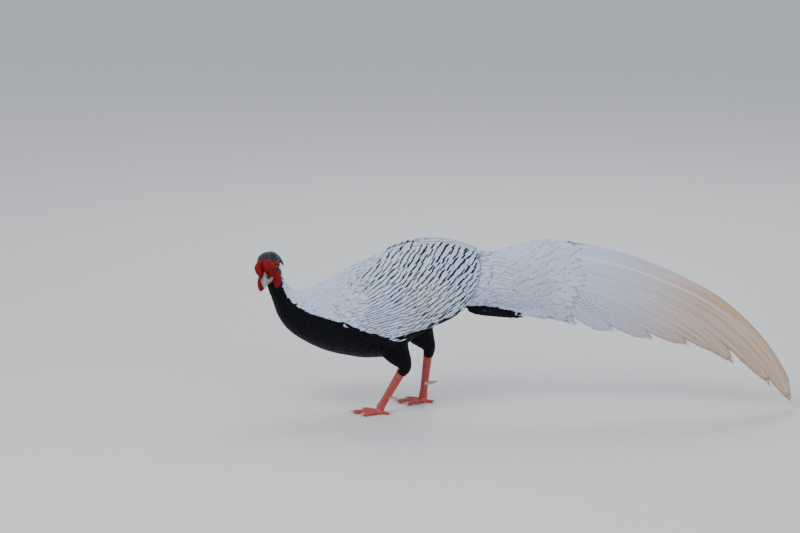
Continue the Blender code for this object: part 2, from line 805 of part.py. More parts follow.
def lid_ring(side):
    """The bare rim of skin round the eye."""
    rings = []
    for k in range(12):
        turn = 2 * math.pi * k / 12
        ring = []
        for j in range(4):
            roll = 2 * math.pi * j / 4
            radius = LID_RADIUS - 0.0012 + LID_THICK * math.cos(roll)
            out = EYE[1] + 0.0040 + LID_THICK * math.sin(roll)
            up = EYE[2] + LID_FLATTEN * radius * math.sin(turn)
            ring.append(head_point(EYE[0] + radius * math.cos(turn), side * out, up))
        rings.append(ring)
    points = [p for ring in rings for p in ring]
    faces = []
    for r in range(12):
        for j in range(4):
            a, b = r * 4 + j, r * 4 + (j + 1) % 4
            c, d = ((r + 1) % 12) * 4 + (j + 1) % 4, ((r + 1) % 12) * 4 + j
            faces += [(a, b, c), (a, c, d)]
    return new_object("lid", points, faces, "red_face")


def face_solids(side):
    return [
        head_ball("lobe", (f, side * s, u), (a, b, c), "red_face", 8, 5) for f, s, u, a, b, c in FACE_LOBES
    ]


def make_face(side_name, side):
    lobes = face_solids(side)
    face = lobes[0]
    face.name = "wattle_" + side_name
    fuse(face, lobes[1:] + [lid_ring(side)])
    makers = [head_solids, bill_solids, neck_solids, lambda: eye_solids(side)]
    cut_clear(face, makers)
    return cut_clear(face, [lambda: face_solids(-1)]) if side > 0 else face


def crest_lock(spread, order):
    """One long lock of the crest, from the crown back over the nape."""
    rows, normals = [], []
    length = CREST_LENGTH * (1 - 0.25 * abs(spread)) * (0.90 + 0.1 * (order % 3) / 2)
    start = -0.006 - 0.004 * (order % 3)
    for step in np.linspace(0, 1, 5):
        back = start - length * step
        out = spread * 0.0150 * (1 - 0.45 * step)
        lift = 0.0285 - 0.0100 * spread**2 - 0.0430 * step**1.5 + 0.0010 * (order % 2)
        width = 0.0040 * vane_width(step, 0.8, 0.2, 0.45)
        across = unit(LEFT * math.cos(spread * 0.9) - UP * math.sin(spread * 0.9))
        normal = unit(np.cross(FORWARD, across))
        middle = head_point(back, out, lift)
        rows.append([middle - across * width, middle + across * width])
        normals.append([normal, normal])
    return thin_sheet("lock", rows, normals, 0.0014, "black_plumage")


def make_crest():
    forward, left, up, *sizes = CREST_CAP
    crest = head_ball("crest", (forward, left, up), sizes, "black_plumage", 12, 6)
    fuse(crest, [crest_lock(2 * k / (CREST_LOCKS - 1) - 1, k) for k in range(CREST_LOCKS)])
    faces = [lambda: face_solids(1), lambda: face_solids(-1)]
    return cut_clear(crest, [head_solids, neck_solids, *faces])


# Legs


def frame_along(direction, side_hint=(0.0, 1.0, 0.0)):
    """Two directions square to a limb: across it and out of its front."""
    direction = unit(direction)
    across = unit(np.subtract(side_hint, direction * np.dot(side_hint, direction)))
    return across, np.cross(across, direction)


def limb(name, places, radii, colour, sides=12, side_hint=(0.0, 1.0, 0.0)):
    """A closed tube through places, with a radius across and one fore and aft at each."""
    rings = []
    for k, place in enumerate(places):
        before, after = places[max(k - 1, 0)], places[min(k + 1, len(places) - 1)]
        across, front = frame_along(np.subtract(after, before), side_hint)
        wide, deep = radii[k]
        turns = [2 * math.pi * j / sides for j in range(sides)]
        rings.append(
            [np.asarray(place) + across * wide * math.cos(t) + front * deep * math.sin(t) for t in turns]
        )
    return loft(name, rings, colour)


def thigh_solids(leg):
    thigh, ankle, toes = (np.array(leg[k]) for k in ("thigh", "ankle", "ball"))
    end = mix(ankle, toes, BOOT_DROP)
    direction = unit(toes - ankle)
    top = thigh + (thigh - ankle) * 0.25
    places = [top, thigh, mix(thigh, ankle, 0.45), ankle - direction * 0.003, end]
    scale = [(0.82, 1.0), (0.86, 1.26), (0.68, 0.98)]
    radii = [(THIGH_RADIUS * w, THIGH_RADIUS * d) for w, d in scale]
    radii += [(BOOT_RADIUS * 1.12, BOOT_RADIUS * 1.25), (BOOT_RADIUS * 0.86, BOOT_RADIUS * 0.9)]
    spine = [np.concatenate([p, r]) for p, r in zip(places, radii)]
    rows = [along(spine, s) for s in np.linspace(0, len(places) - 1, 10)]
    return [limb("thigh", [r[:3] for r in rows], [tuple(r[3:]) for r in rows], "black_plumage", 14)]


def make_thigh(side_name, side, leg):
    thigh = thigh_solids(leg)[0]
    thigh.name = "thigh_" + side_name
    return cut_clear(thigh, [torso_solids, lambda: [wing_core("wing", side)]])


def shank_solids(leg):
    ankle, toes = (np.array(leg[k]) for k in ("ankle", "ball"))
    direction = unit(toes - ankle)
    start = mix(ankle, toes, BOOT_DROP) + direction * GAP * 2
    end = toes - direction * 0.0035
    rows, radii = [], []
    for k in range(SHANK_SCUTES):
        for part, rise in ((0.0, 0.0), (0.82, SCUTE_RISE)):
            share = (k + part) / SHANK_SCUTES
            radius = mix(SHANK_RADII[0], SHANK_RADII[1], smooth(share * 1.2))
            radius *= 1 + 0.18 * smooth((share - 0.86) / 0.14)
            rows.append(mix(start, end, share))
            radii.append((radius * 0.92 + rise, radius * 1.06 + rise))
    rows.append(end)
    radii.append((SHANK_RADII[1] * 1.10, SHANK_RADII[1] * 1.15))
    return [limb("shank", rows, radii, "red_leg", 8)]


def make_shank(side_name, leg):
    shank = shank_solids(leg)[0]
    shank.name = "shank_" + side_name
    return cut_clear(shank, [lambda: thigh_solids(leg)])


def make_spur(side_name, side, leg):
    """The spur on the inner back of the shank."""
    ankle, toes = (np.array(leg[k]) for k in ("ankle", "ball"))
    direction = unit(toes - ankle)
    root = mix(ankle, toes, SPUR_AT)
    back = unit(np.array([1.0, -0.35 * side, 0.05]) - direction * direction[0])
    rows, radii = [], []
    for step in np.linspace(0, 1, 6):
        rows.append(root + back * (0.003 + SPUR_LENGTH * step) + np.array([0, 0, 0.005 * step**2]))
        radii.append((SPUR_RADIUS * (1 - step) ** 0.7 + 0.0004,) * 2)
    spur = limb("spur_" + side_name, rows, radii, "red_leg", 8, (0.0, 0.2, 1.0))
    return cut_clear(spur, [lambda: shank_solids(leg)])


def toe_tubes(leg, turn, length, thickness, claw):
    """A toe with its pads, and its claw, as two closed tubes."""
    heading = math.radians(leg["heading"] + turn)
    ahead = np.array([math.cos(heading), math.sin(heading), 0.0])
    ball_place = np.array(leg["ball"])
    hind = abs(turn) > 90
    rows, radii = [], []
    for k, step in enumerate(np.linspace(0, 1, 7)):
        low = TOE_HEIGHT * (0.62 if hind else 1.0)
        height = mix(ball_place[2] - 0.001, low, smooth(step * (1.6 if hind else 3.2)))
        rows.append(ball_place * (1, 1, 0) + ahead * length * step + np.array([0, 0, height]))
        pad = 1.10 if k % 2 else 0.94
        radius = thickness * mix(1.0, 0.80, step) * pad
        radii.append((radius, radius))
    toe = limb("toe", rows, radii, "red_leg", 7, (0.0, 0.0, 1.0))
    tip = rows[-1]
    rows, radii = [], []
    for step in np.linspace(0, 1, 4):
        rise = 0.0022 * math.sin(math.pi * step * 0.8) - 0.0042 * step**2
        rows.append(tip + ahead * (claw * step - 0.003) + np.array([0, 0, rise]))
        radius = thickness * 0.60 * (1 - step) ** 0.75 + 0.0003
        radii.append((radius, radius))
    return toe, limb("claw", rows, radii, "horn_bill", 6, (0.0, 0.0, 1.0))


def make_foot(side_name, side, leg):
    centre = np.array(leg["ball"])
    sole = centre - np.array([0, 0, 0.002])
    foot = ball("foot_" + side_name, sole, SOLE_SIZES, np.eye(3), "red_leg", 8, 6)
    pieces = []
    for name, (turn, length, thickness, claw) in TOES.items():
        inner = turn if name in ("middle", "hind") else turn * -side
        pieces += toe_tubes(leg, inner, length, thickness, claw)
    fuse(foot, pieces)
    corners = [(x, y, z) for z in (-0.03, 0.0) for x, y in ((-1, -1), (1, -1), (1, 1), (-1, 1))]
    faces = [(0, 1, 2, 3), (4, 5, 6, 7), (0, 1, 5, 4), (1, 2, 6, 5), (2, 3, 7, 6), (3, 0, 4, 7)]
    floor = new_object("floor", corners, faces, "red_leg")
    apply_boolean(foot, "DIFFERENCE", [floor])
    return cut_clear(foot, [lambda: shank_solids(leg)])


def centre_on_floor(objects):
    """Moves the bird so that the origin is the middle of its box, at the floor."""
    points = np.array([v.co for o in objects for v in o.data.vertices])
    low, high = points.min(0), points.max(0)
    shift = Vector((-(low[0] + high[0]) / 2, -(low[1] + high[1]) / 2, -low[2]))
    for obj in objects:
        for vertex in obj.data.vertices:
            vertex.co += shift


def named(obj, name):
    obj.name = name
    return obj


def main():
    clear_scene()
    parts = [torso_solids()[0], cut_clear(neck_solids()[0], [head_solids]), head_solids()[0]]
    parts += [make_rump(), make_tail(), make_undertail()]
    parts += [make_wing(name, side) for name, side in (("left", -1), ("right", 1))]
    parts += make_bill()
    for name, side in (("left", 1), ("right", -1)):
        parts += [named(eye_solids(side)[0], "eye_" + name), make_face(name, side)]
    parts.append(make_crest())
    for name, side in (("left", -1), ("right", 1)):
        leg = LEGS[name]
        parts += [make_thigh(name, side, leg), make_shank(name, leg), make_spur(name, side, leg)]
        parts.append(make_foot(name, side, leg))
    for obj in parts:
        finish(obj)
    centre_on_floor(parts)


main()
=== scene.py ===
# %% [markdown]
# # A silver pheasant cock, life size
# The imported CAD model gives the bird's frame: where its body, wings, legs and tail lie.
# This lesson dresses that frame. A smooth skin comes first, then feathers set in rows over it,
# as they grow on the bird, then the tail, the head and the legs, and last the light and camera.
# Lengths are in metres. The bird walks towards -X and its left side faces -Y.

import json
import math
import random

import bmesh
import bpy
import numpy as np
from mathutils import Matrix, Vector
from mathutils import noise as turbulence
from mathutils.bvhtree import BVHTree

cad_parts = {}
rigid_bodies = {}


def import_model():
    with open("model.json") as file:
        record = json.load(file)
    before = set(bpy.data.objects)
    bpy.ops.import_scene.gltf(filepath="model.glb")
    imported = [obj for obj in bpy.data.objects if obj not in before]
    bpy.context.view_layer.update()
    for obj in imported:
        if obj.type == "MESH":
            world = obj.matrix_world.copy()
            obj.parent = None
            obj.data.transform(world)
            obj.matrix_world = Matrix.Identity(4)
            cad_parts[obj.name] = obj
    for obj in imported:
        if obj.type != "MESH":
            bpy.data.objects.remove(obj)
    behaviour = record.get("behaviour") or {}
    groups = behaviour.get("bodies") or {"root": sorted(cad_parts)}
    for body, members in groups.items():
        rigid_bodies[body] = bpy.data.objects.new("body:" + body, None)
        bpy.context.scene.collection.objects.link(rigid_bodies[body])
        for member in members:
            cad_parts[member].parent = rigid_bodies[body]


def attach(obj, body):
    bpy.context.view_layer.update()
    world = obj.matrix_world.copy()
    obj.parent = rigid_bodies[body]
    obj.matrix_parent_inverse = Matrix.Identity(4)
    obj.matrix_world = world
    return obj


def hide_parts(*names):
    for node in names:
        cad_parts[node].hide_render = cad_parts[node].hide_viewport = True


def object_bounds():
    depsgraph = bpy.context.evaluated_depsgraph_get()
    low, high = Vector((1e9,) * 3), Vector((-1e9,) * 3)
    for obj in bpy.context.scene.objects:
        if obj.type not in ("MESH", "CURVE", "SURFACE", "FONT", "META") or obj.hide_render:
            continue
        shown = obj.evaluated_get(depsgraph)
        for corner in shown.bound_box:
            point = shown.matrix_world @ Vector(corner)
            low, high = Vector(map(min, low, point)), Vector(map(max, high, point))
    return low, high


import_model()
cad_low, cad_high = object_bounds()
print("CAD box", [round(v, 4) for v in (*cad_low, *cad_high)])

# %% [markdown]
# The CAD source was drawn from the line of the body, and then moved so that the middle of its box
# is the origin. The same line is used here, so one small shift takes its places into the frame.

# %% Lines of the body, wing and tail
DRAWN_FRONT = -0.48754
SHIFT = np.array([cad_low.x - DRAWN_FRONT, 0.0, 0.0])

# x, y, z of a section's middle, its half height and half width, and its lean in degrees.
BODY_LINE = [
    (-0.0890, 0.0, 0.2425, 0.0500, 0.037, 11),
    (-0.116, 0.0, 0.2405, 0.0620, 0.047, 9),
    (-0.147, 0.0, 0.2365, 0.0747, 0.055, 7),
    (-0.182, 0.0, 0.2270, 0.0868, 0.062, 6),
    (-0.216, 0.0, 0.2138, 0.0968, 0.066, 5),
    (-0.249, 0.0, 0.1990, 0.1005, 0.067, 3),
    (-0.284, 0.0, 0.1882, 0.0942, 0.065, 2),
    (-0.319, 0.0, 0.1835, 0.0848, 0.061, 4),
    (-0.352, 0.0, 0.1800, 0.0732, 0.055, 8),
    (-0.380, 0.0, 0.1795, 0.0600, 0.047, 12),
    (-0.402, 0.0, 0.1810, 0.0490, 0.040, 15),
    (-0.420, -0.001, 0.1870, 0.0395, 0.0335, 20),
    (-0.433, -0.003, 0.1990, 0.0295, 0.0275, 34),
    (-0.4415, -0.006, 0.2150, 0.0228, 0.0225, 46),
    (-0.448, -0.010, 0.2300, 0.0202, 0.0200, 52),
    (-0.454, -0.015, 0.2440, 0.0180, 0.0180, 55),
]
NAPE = 14.9
BACK_NARROWING = 0.10
SIDES = (("left", -1), ("right", 1))
# The wing: station on the body line, and the angles from the ridge at which it starts and ends.
WING_EDGES = [
    (0.05, 7, 138),
    (1.0, 6, 146),
    (2.0, 6, 148),
    (3.0, 8, 143),
    (4.0, 13, 137),
    (5.0, 21, 130),
    (6.0, 33, 117),
    (7.0, 50, 100),
    (7.7, 68, 84),
]
WING_LIFT = 0.0042
WING_CORE = -0.014
FLANK_FLARE = 0.38
# The ridge of the tail, x and z, and its section: distance, half height and half width.
TAIL_RIDGE = [
    (-0.0756, 0.2926),
    (-0.0252, 0.2981),
    (0.0162, 0.3095),
    (0.0702, 0.3095),
    (0.1332, 0.2995),
    (0.2052, 0.2785),
    (0.2772, 0.2475),
    (0.3330, 0.2180),
    (0.3760, 0.1860),
    (0.4120, 0.1520),
    (0.4440, 0.1130),
    (0.4680, 0.0760),
    (0.4900, 0.0304),
    (0.4990, 0.0080),
]
TAIL_SECTION = [
    (0.0, 0.048, 0.036),
    (0.05, 0.056, 0.032),
    (0.085, 0.066, 0.030),
    (0.15, 0.075, 0.027),
    (0.21, 0.078, 0.025),
    (0.29, 0.077, 0.023),
    (0.36, 0.071, 0.021),
    (0.435, 0.063, 0.019),
    (0.50, 0.054, 0.017),
    (0.56, 0.042, 0.014),
    (0.62, 0.033, 0.011),
    (0.70, 0.022, 0.008),
]


def mix(low, high, share):
    return low + (high - low) * share


def smooth(share):
    share = min(1.0, max(0.0, share))
    return share * share * (3 - 2 * share)


def unit(vector):
    vector = np.asarray(vector, float)
    return vector / np.linalg.norm(vector)


def along(rows, place):
    """Rows of numbers read at a place between them, on a Catmull-Rom curve."""
    rows = np.array(rows, float)
    i = int(min(max(math.floor(place), 0), len(rows) - 2))
    t = place - i
    a = rows[i - 1] if i > 0 else 2 * rows[0] - rows[1]
    b, c = rows[i], rows[i + 1]
    d = rows[i + 2] if i + 2 < len(rows) else 2 * rows[-1] - rows[-2]
    return 0.5 * (2 * b + (c - a) * t + (2 * a - 5 * b + 4 * c - d) * t**2 + (3 * b - a - 3 * c + d) * t**3)


def lookup(rows, key):
    """The other columns of a table at a value of its first column, by straight lines."""
    table = np.array(rows, float)
    return [float(np.interp(key, table[:, 0], table[:, k])) for k in range(1, table.shape[1])]


def body_section(station):
    x, y, z, half_height, half_width, lean = along(BODY_LINE, station)
    up = np.array([math.sin(math.radians(lean)), 0.0, math.cos(math.radians(lean))])
    return np.array([x, y, z]), up, half_height, half_width


def body_point(station, angle, lift=0.0, side=1):
    """A point on the plumage at an angle from the ridge of the back."""
    middle, up, half_height, half_width = body_section(station)
    narrow = 1 - BACK_NARROWING * math.cos(angle)
    out = (half_width * narrow + lift) * math.sin(angle) * side
    return middle + up * (half_height + lift) * math.cos(angle) + np.array([0.0, out, 0.0])


def wing_angle(station, share):
    top, low = lookup(WING_EDGES, station)
    return math.radians(mix(top, low, share))


def wing_point(station, share, lift, side):
    """A point over the folded wing, which hangs nearly straight below the widest part."""
    angle = wing_angle(station, share)
    middle, up, half_height, half_width = body_section(station)
    round_off = math.sin(angle) ** FLANK_FLARE if angle > math.pi / 2 else math.sin(angle)
    narrow = 1 - BACK_NARROWING * math.cos(angle)
    out = (half_width * narrow * round_off + lift * max(0.0, math.sin(angle)) ** 0.3) * side
    rise = (half_height + lift * max(0.0, math.cos(angle))) * math.cos(angle)
    return middle + up * rise + np.array([0.0, out, 0.0])


def station_length(station):
    """How many metres of the body's middle line one station spans."""
    return np.linalg.norm(body_section(station - 0.1)[0] - body_section(station)[0]) / 0.1


def ridge_curve():
    places = np.linspace(0, len(TAIL_RIDGE) - 1, 240)
    points = np.array([along(TAIL_RIDGE, p) for p in places])
    steps = np.linalg.norm(np.diff(points, axis=0), axis=1)
    return points, np.concatenate([[0], np.cumsum(steps)])


RIDGE_POINTS, RIDGE_DISTANCE = ridge_curve()


def ridge_at(distance):
    """The ridge's point and its downward normal at a distance along it."""
    reach = 0.006
    ends = []
    for d in (-reach, 0.0, reach):
        ends.append([np.interp(distance + d, RIDGE_DISTANCE, RIDGE_POINTS[:, k]) for k in (0, 1)])
    tangent = unit(np.subtract(ends[2], ends[0]))
    return np.array([ends[1][0], 0.0, ends[1][1]]), np.array([tangent[1], 0.0, -tangent[0]])


def tail_point(distance, angle, lift, side):
    """A point of the tail's surface at an angle from the ridge, lifted outwards."""
    top, down = ridge_at(distance)
    half_height, half_width = lookup(TAIL_SECTION, distance)
    out = side * (half_width + lift) * math.sin(angle)
    return top + down * (half_height - (half_height + lift) * math.cos(angle)) + np.array([0.0, out, 0.0])


print("body", round(float(body_section(0)[0][0] - body_section(NAPE)[0][0]), 3), "m long,",
      "tail ridge", round(float(RIDGE_DISTANCE[-1]), 3), "m")

# %% [markdown]
# Every piece is plain mesh data at the origin. These helpers turn lists of points into a mesh,
# close a loft through rings, and store numbers on a mesh for the nodes and the materials to read.

# %% Mesh helpers
PIECES = {}


def mesh_object(name, points, faces):
    """A mesh from drawn places, moved into the frame."""
    mesh = bpy.data.meshes.new(name)
    mesh.from_pydata([tuple(float(c) for c in p) for p in np.asarray(points, float) + SHIFT], [], faces)
    mesh.validate()
    mesh.shade_smooth()
    obj = bpy.data.objects.new(name, mesh)
    bpy.context.scene.collection.objects.link(obj)
    return obj


def face_outwards(obj):
    body = bmesh.new()
    body.from_mesh(obj.data)
    bmesh.ops.recalc_face_normals(body, faces=body.faces)
    if body.calc_volume(signed=True) < 0:
        bmesh.ops.reverse_faces(body, faces=body.faces)
    body.to_mesh(obj.data)
    body.free()
    return obj


def loft_faces(rings, around):
    faces = []
    for r in range(rings - 1):
        for k in range(around):
            a, b = r * around + k, r * around + (k + 1) % around
            faces.append((a, b, b + around, a + around))
    last = (rings - 1) * around
    return faces + [tuple(range(around))[::-1], tuple(range(last, last + around))]


def loft(name, rings):
    """A closed solid through rings of equally many points, with flat ends."""
    points = [p for ring in rings for p in ring]
    return face_outwards(mesh_object(name, points, loft_faces(len(rings), len(rings[0]))))


def ball(name, centre, sizes, axes=None, around=24, rings=14):
    """An ellipsoid with its own axes."""
    axes = np.eye(3) if axes is None else np.array(axes)
    profile = [(math.cos(math.pi * r / rings), math.sin(math.pi * r / rings)) for r in range(1, rings)]
    turns = [2 * math.pi * k / around for k in range(around)]
    circles = [[(s * math.cos(t), s * math.sin(t), c) for t in turns] for c, s in profile]
    return loft(name, [[np.asarray(centre) + (np.array(p) * sizes) @ axes for p in ring] for ring in circles])


def evaluated(obj):
    """The mesh as its modifiers leave it, with the modifiers gone."""
    graph = bpy.context.evaluated_depsgraph_get()
    made = bpy.data.meshes.new_from_object(obj.evaluated_get(graph))
    obj.modifiers.clear()
    obj.data = made
    return obj


def join(objects):
    """The first object with the meshes of all, and the others removed."""
    body = bmesh.new()
    for obj in objects:
        body.from_mesh(obj.data)
    body.to_mesh(objects[0].data)
    body.free()
    for obj in objects[1:]:
        bpy.data.objects.remove(obj)
    return objects[0]


def melt(objects, voxel, rounds=6):
    """Several closed solids remeshed as one skin, and relaxed."""
    obj = join(objects)
    remesh = obj.modifiers.new("remesh", "REMESH")
    remesh.mode = "VOXEL"
    remesh.voxel_size = voxel
    relax = obj.modifiers.new("relax", "SMOOTH")
    relax.iterations, relax.factor = rounds, 0.5
    evaluated(obj)
    obj.data.shade_smooth()
    return obj


def vertices(obj):
    co = np.zeros(len(obj.data.vertices) * 3, np.float32)
    obj.data.vertices.foreach_get("co", co)
    return co.reshape(-1, 3).astype(float)


def vertex_normals(obj):
    out = np.zeros(len(obj.data.vertices) * 3, np.float32)
    obj.data.vertex_normals.foreach_get("vector", out)
    return out.reshape(-1, 3).astype(float)


def nearest_on(line, co):
    """The nearest place of a line, for each of many places."""
    return line[np.argmin(((co[:, None, :] - line[None]) ** 2).sum(-1), axis=1)]


def search_tree(obj):
    return BVHTree.FromPolygons([v.co for v in obj.data.vertices], [p.vertices for p in obj.data.polygons])


def store(obj, name, values, kind="FLOAT"):
    """Numbers or vectors on the points of a mesh, under a name."""
    layer = obj.data.attributes.new(name, kind, "POINT")
    key = "vector" if kind == "FLOAT_VECTOR" else "value"
    layer.data.foreach_set(key, np.asarray(values, np.int32 if kind == "INT" else np.float32).ravel())


def done(obj, material=None, replaced=()):
    """Gives a finished piece its material and its place in the frame's body."""
    if material is not None:
        obj.data.materials.clear()
        obj.data.materials.append(material)
    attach(obj, "root")
    if replaced:
        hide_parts(*replaced)
    triangles = sum(len(p.vertices) - 2 for p in obj.data.polygons)
    PIECES[obj.name] = triangles
    print(obj.name, triangles, "triangles")
    return obj


# %% [markdown]
# The skin is the bird without its coat: body and neck from the body line, the folded wings, the
# root of the tail, the thighs and the skull, all a coat's depth inside the CAD solids. Solids drawn
# apart would leave seams, so a voxel remesh melts them into one surface, which is then relaxed.

# %% Skin
COAT_DEPTH = 0.0040
SKIN_VOXEL = 0.0026
LEGS = {
    "left": {"thigh": (-0.2450, -0.034, 0.138), "ankle": (-0.2190, -0.037, 0.0865),
             "ball": (-0.2645, -0.042, 0.0085), "heading": 176},
    "right": {"thigh": (-0.2000, 0.034, 0.152), "ankle": (-0.1745, 0.037, 0.1040),
              "ball": (-0.1850, 0.042, 0.0085), "heading": 184},
}
THIGH_RADIUS = 0.0270
BOOT_RADIUS = 0.0098
BOOT_DROP = 0.16
HEAD_CENTRE = (-0.4614, -0.020, 0.2590)
HEAD_TURN, HEAD_NOD, HEAD_TILT = 15, 18, -13
# The skull from the nape to the bill: forward, half width, half height, height of the middle.
SKULL = [
    (-0.0265, 0.0060, 0.0060, 0.0010),
    (-0.0235, 0.0110, 0.0115, 0.0010),
    (-0.0170, 0.0160, 0.0165, 0.0008),
    (-0.0080, 0.0185, 0.0190, 0.0000),
    (0.0020, 0.0188, 0.0193, -0.0006),
    (0.0110, 0.0168, 0.0172, -0.0018),
    (0.0185, 0.0138, 0.0142, -0.0032),
    (0.0240, 0.0112, 0.0116, -0.0044),
]
# The crown under the crest: its place forward, left and up of the head, and its half sizes.
CREST_CAP = (-0.0160, 0.0, 0.0150, 0.0215, 0.0185, 0.0150)
CREST_DEPTH = 0.0025
NAPE_BALLS = [(-0.4515, -0.004, 0.2565, 0.0086), (-0.4482, -0.008, 0.2480, 0.0112)]
# The tail's fleshy root: distance along the ridge, and how far inside the tail's surface it lies.
TAIL_ROOT = [(0.0, -0.006), (0.03, -0.003), (0.05, -0.002), (0.075, -0.004), (0.098, -0.012), (0.115, -0.022)]
UNDERTAIL_ROOT = (-0.108, 0.0, 0.189)
UNDERTAIL_TIP = (-0.003, 0.0, 0.1785)


def head_axes():
    """Forward, left and up of the head as it is turned, nodded and tilted."""
    turn, nod, tilt = (math.radians(a) for a in (HEAD_TURN, HEAD_NOD, HEAD_TILT))
    forward = np.array([-math.sin(turn) * math.cos(nod), -math.cos(turn) * math.cos(nod), -math.sin(nod)])
    level_up = np.array([-math.sin(turn) * math.sin(nod), -math.cos(turn) * math.sin(nod), math.cos(nod)])
    level_left = np.cross(level_up, forward)
    up = level_up * math.cos(tilt) + level_left * math.sin(tilt)
    left = level_left * math.cos(tilt) - level_up * math.sin(tilt)
    return forward, left, up


FORWARD, LEFT, UP = head_axes()


def ring_angles(count=40):
    return [2 * math.pi * k / count for k in range(count)]


def head_point(forward, left, up):
    return np.array(HEAD_CENTRE) + FORWARD * forward + LEFT * left + UP * up


def frame_along(direction, side_hint=(0.0, 1.0, 0.0)):
    """Two directions square to a limb: across it and out of its front."""
    direction = unit(direction)
    across = unit(np.subtract(side_hint, direction * np.dot(side_hint, direction)))
    return across, np.cross(across, direction)


def limb_rings(places, radii, sides=24, side_hint=(0.0, 1.0, 0.0)):
    """Rings round a line of places, with a radius across and one fore and aft at each."""
    rings = []
    for k, place in enumerate(places):
        before, after = places[max(k - 1, 0)], places[min(k + 1, len(places) - 1)]
        across, front = frame_along(np.subtract(after, before), side_hint)
        wide, deep = radii[k]
        rings.append([np.asarray(place) + across * wide * math.cos(t) + front * deep * math.sin(t)
                      for t in ring_angles(sides)])
    return rings


def thigh_line(leg, depth=0.0):
    """Places and radii down the feathered thigh, to its end above the bare shank."""
    thigh, ankle, toes = (np.array(leg[k]) for k in ("thigh", "ankle", "ball"))
    direction = unit(toes - ankle)
    top = thigh + (thigh - ankle) * 0.25
    places = [top, thigh, mix(thigh, ankle, 0.45), ankle - direction * 0.003, mix(ankle, toes, BOOT_DROP)]
    radii = [(THIGH_RADIUS * w, THIGH_RADIUS * d) for w, d in ((0.82, 1.0), (0.86, 1.26), (0.68, 0.98))]
    radii += [(BOOT_RADIUS * 1.12, BOOT_RADIUS * 1.25), (BOOT_RADIUS * 0.86, BOOT_RADIUS * 0.9)]
    depths = [depth, depth, depth, depth * 0.5, depth * 0.35]
    spine = [[*p, r[0] - d, r[1] - d] for p, r, d in zip(places, radii, depths)]
    rows = [along(spine, s) for s in np.linspace(0, len(spine) - 1, 24)]
    return [r[:3] for r in rows], [tuple(r[3:]) for r in rows]


def body_solid():
    rings = [[body_point(s, a, -COAT_DEPTH) for a in ring_angles()] for s in np.linspace(0, NAPE, 60)]
    return loft("skin", rings)


def wing_solid(side):
    """The folded wing as a shell over the body, closed underneath."""
    stations, shares = np.linspace(0.35, 7.3, 30), np.linspace(0.03, 0.96, 16)
    lift = WING_LIFT - COAT_DEPTH
    outer = [[wing_point(s, h, lift * smooth((7.7 - s) / 1.4), side) for h in shares] for s in stations]
    inner = [[body_point(s, wing_angle(s, h), WING_CORE, side) for h in shares] for s in stations]
    return loft("wing", [o + i[::-1] for o, i in zip(outer, inner)])


def tail_root_solid():
    """The fleshy root of the tail, which tapers inside the long feathers."""
    return loft("root", [[tail_point(d, a, lift, 1) for a in ring_angles(28)] for d, lift in TAIL_ROOT])


def rump_solid():
    first = [body_point(0.3, a, -COAT_DEPTH) for a in ring_angles()]
    rest = [[tail_point(d, a, -COAT_DEPTH, 1) for a in ring_angles()] for d in (0.024, 0.05)]
    return loft("rump", [first, *rest])


def skull_solid():
    rings = []
    for place in np.linspace(0, len(SKULL) - 1.7, 16):
        forward, wide, high, middle = along(SKULL, place)
        inset = 0.0006 + 0.0024 * smooth((place - 4.4) / 1.2)
        rings.append([head_point(forward, (wide - inset) * math.sin(t), middle + (high - inset) * math.cos(t))
                      for t in ring_angles(28)])
    return loft("skull", rings)


def undertail_solid():
    root, tip = np.array(UNDERTAIL_ROOT), np.array(UNDERTAIL_TIP)
    axis, across = unit(tip - root), np.array([0.0, 1.0, 0.0])
    sizes = (np.linalg.norm(tip - root) * 0.40, 0.0165, 0.0090)
    return ball("under", root + axis * sizes[0], sizes, (axis, across, np.cross(axis, across)))


def make_skin():
    forward, left, up, *sizes = CREST_CAP
    cap_sizes = [s - CREST_DEPTH for s in sizes]
    solids = [body_solid(), wing_solid(-1), wing_solid(1), rump_solid(), tail_root_solid(), skull_solid()]
    solids += [ball("cap", head_point(forward, left, up), cap_sizes, (FORWARD, LEFT, UP)), undertail_solid()]
    solids += [loft("thigh", limb_rings(*thigh_line(leg, COAT_DEPTH))) for leg in LEGS.values()]
    solids += [ball("nape", centre, (radius,) * 3) for *centre, radius in NAPE_BALLS]
    return melt(solids, SKIN_VOXEL)


skin = make_skin()
skin.name = "skin"
print("skin", len(skin.data.polygons), "faces")

# %% [markdown]
# A coat is thousands of feathers, so each feather is set by a small list of numbers at its root:
# which way it lies, how long and wide it is, how high its tip stands and how it is marked.
# One Geometry Nodes tree turns such a list into a coat. It sets a feather on every root, then bends
# each one down onto a guide surface, so that the feathers hug the bird as real ones do.
# Nodes are wired by hand here; the small Wire class lets sums be written as sums.

# %% Wires and node helpers


class Wire:
    """A number running through a node tree; each sign or call adds one Math node."""

    def __init__(self, tree, socket):
        self.tree, self.socket = tree, socket

    def math(self, operation, *others):
        node = self.tree.nodes.new("ShaderNodeMath")
        node.operation = operation
        for k, value in enumerate((self, *others)):
            plug(self.tree, value, node.inputs[k])
        return Wire(self.tree, node.outputs[0])

    def __add__(self, other):
        return self.math("ADD", other)

    def __sub__(self, other):
        return self.math("SUBTRACT", other)

    def __mul__(self, other):
        return self.math("MULTIPLY", other)

    def __pow__(self, other):
        return self.math("POWER", other)

    def ramp(self, low, high, start=0.0, end=1.0):
        """A soft step from start to end as the number goes from low to high."""
        node = self.tree.nodes.new("ShaderNodeMapRange")
        node.interpolation_type = "SMOOTHSTEP"
        sockets = ("Value", "From Min", "From Max", "To Min", "To Max")
        for name, value in zip(sockets, (self, low, high, start, end)):
            plug(self.tree, value, node.inputs[name])
        return Wire(self.tree, node.outputs[0])


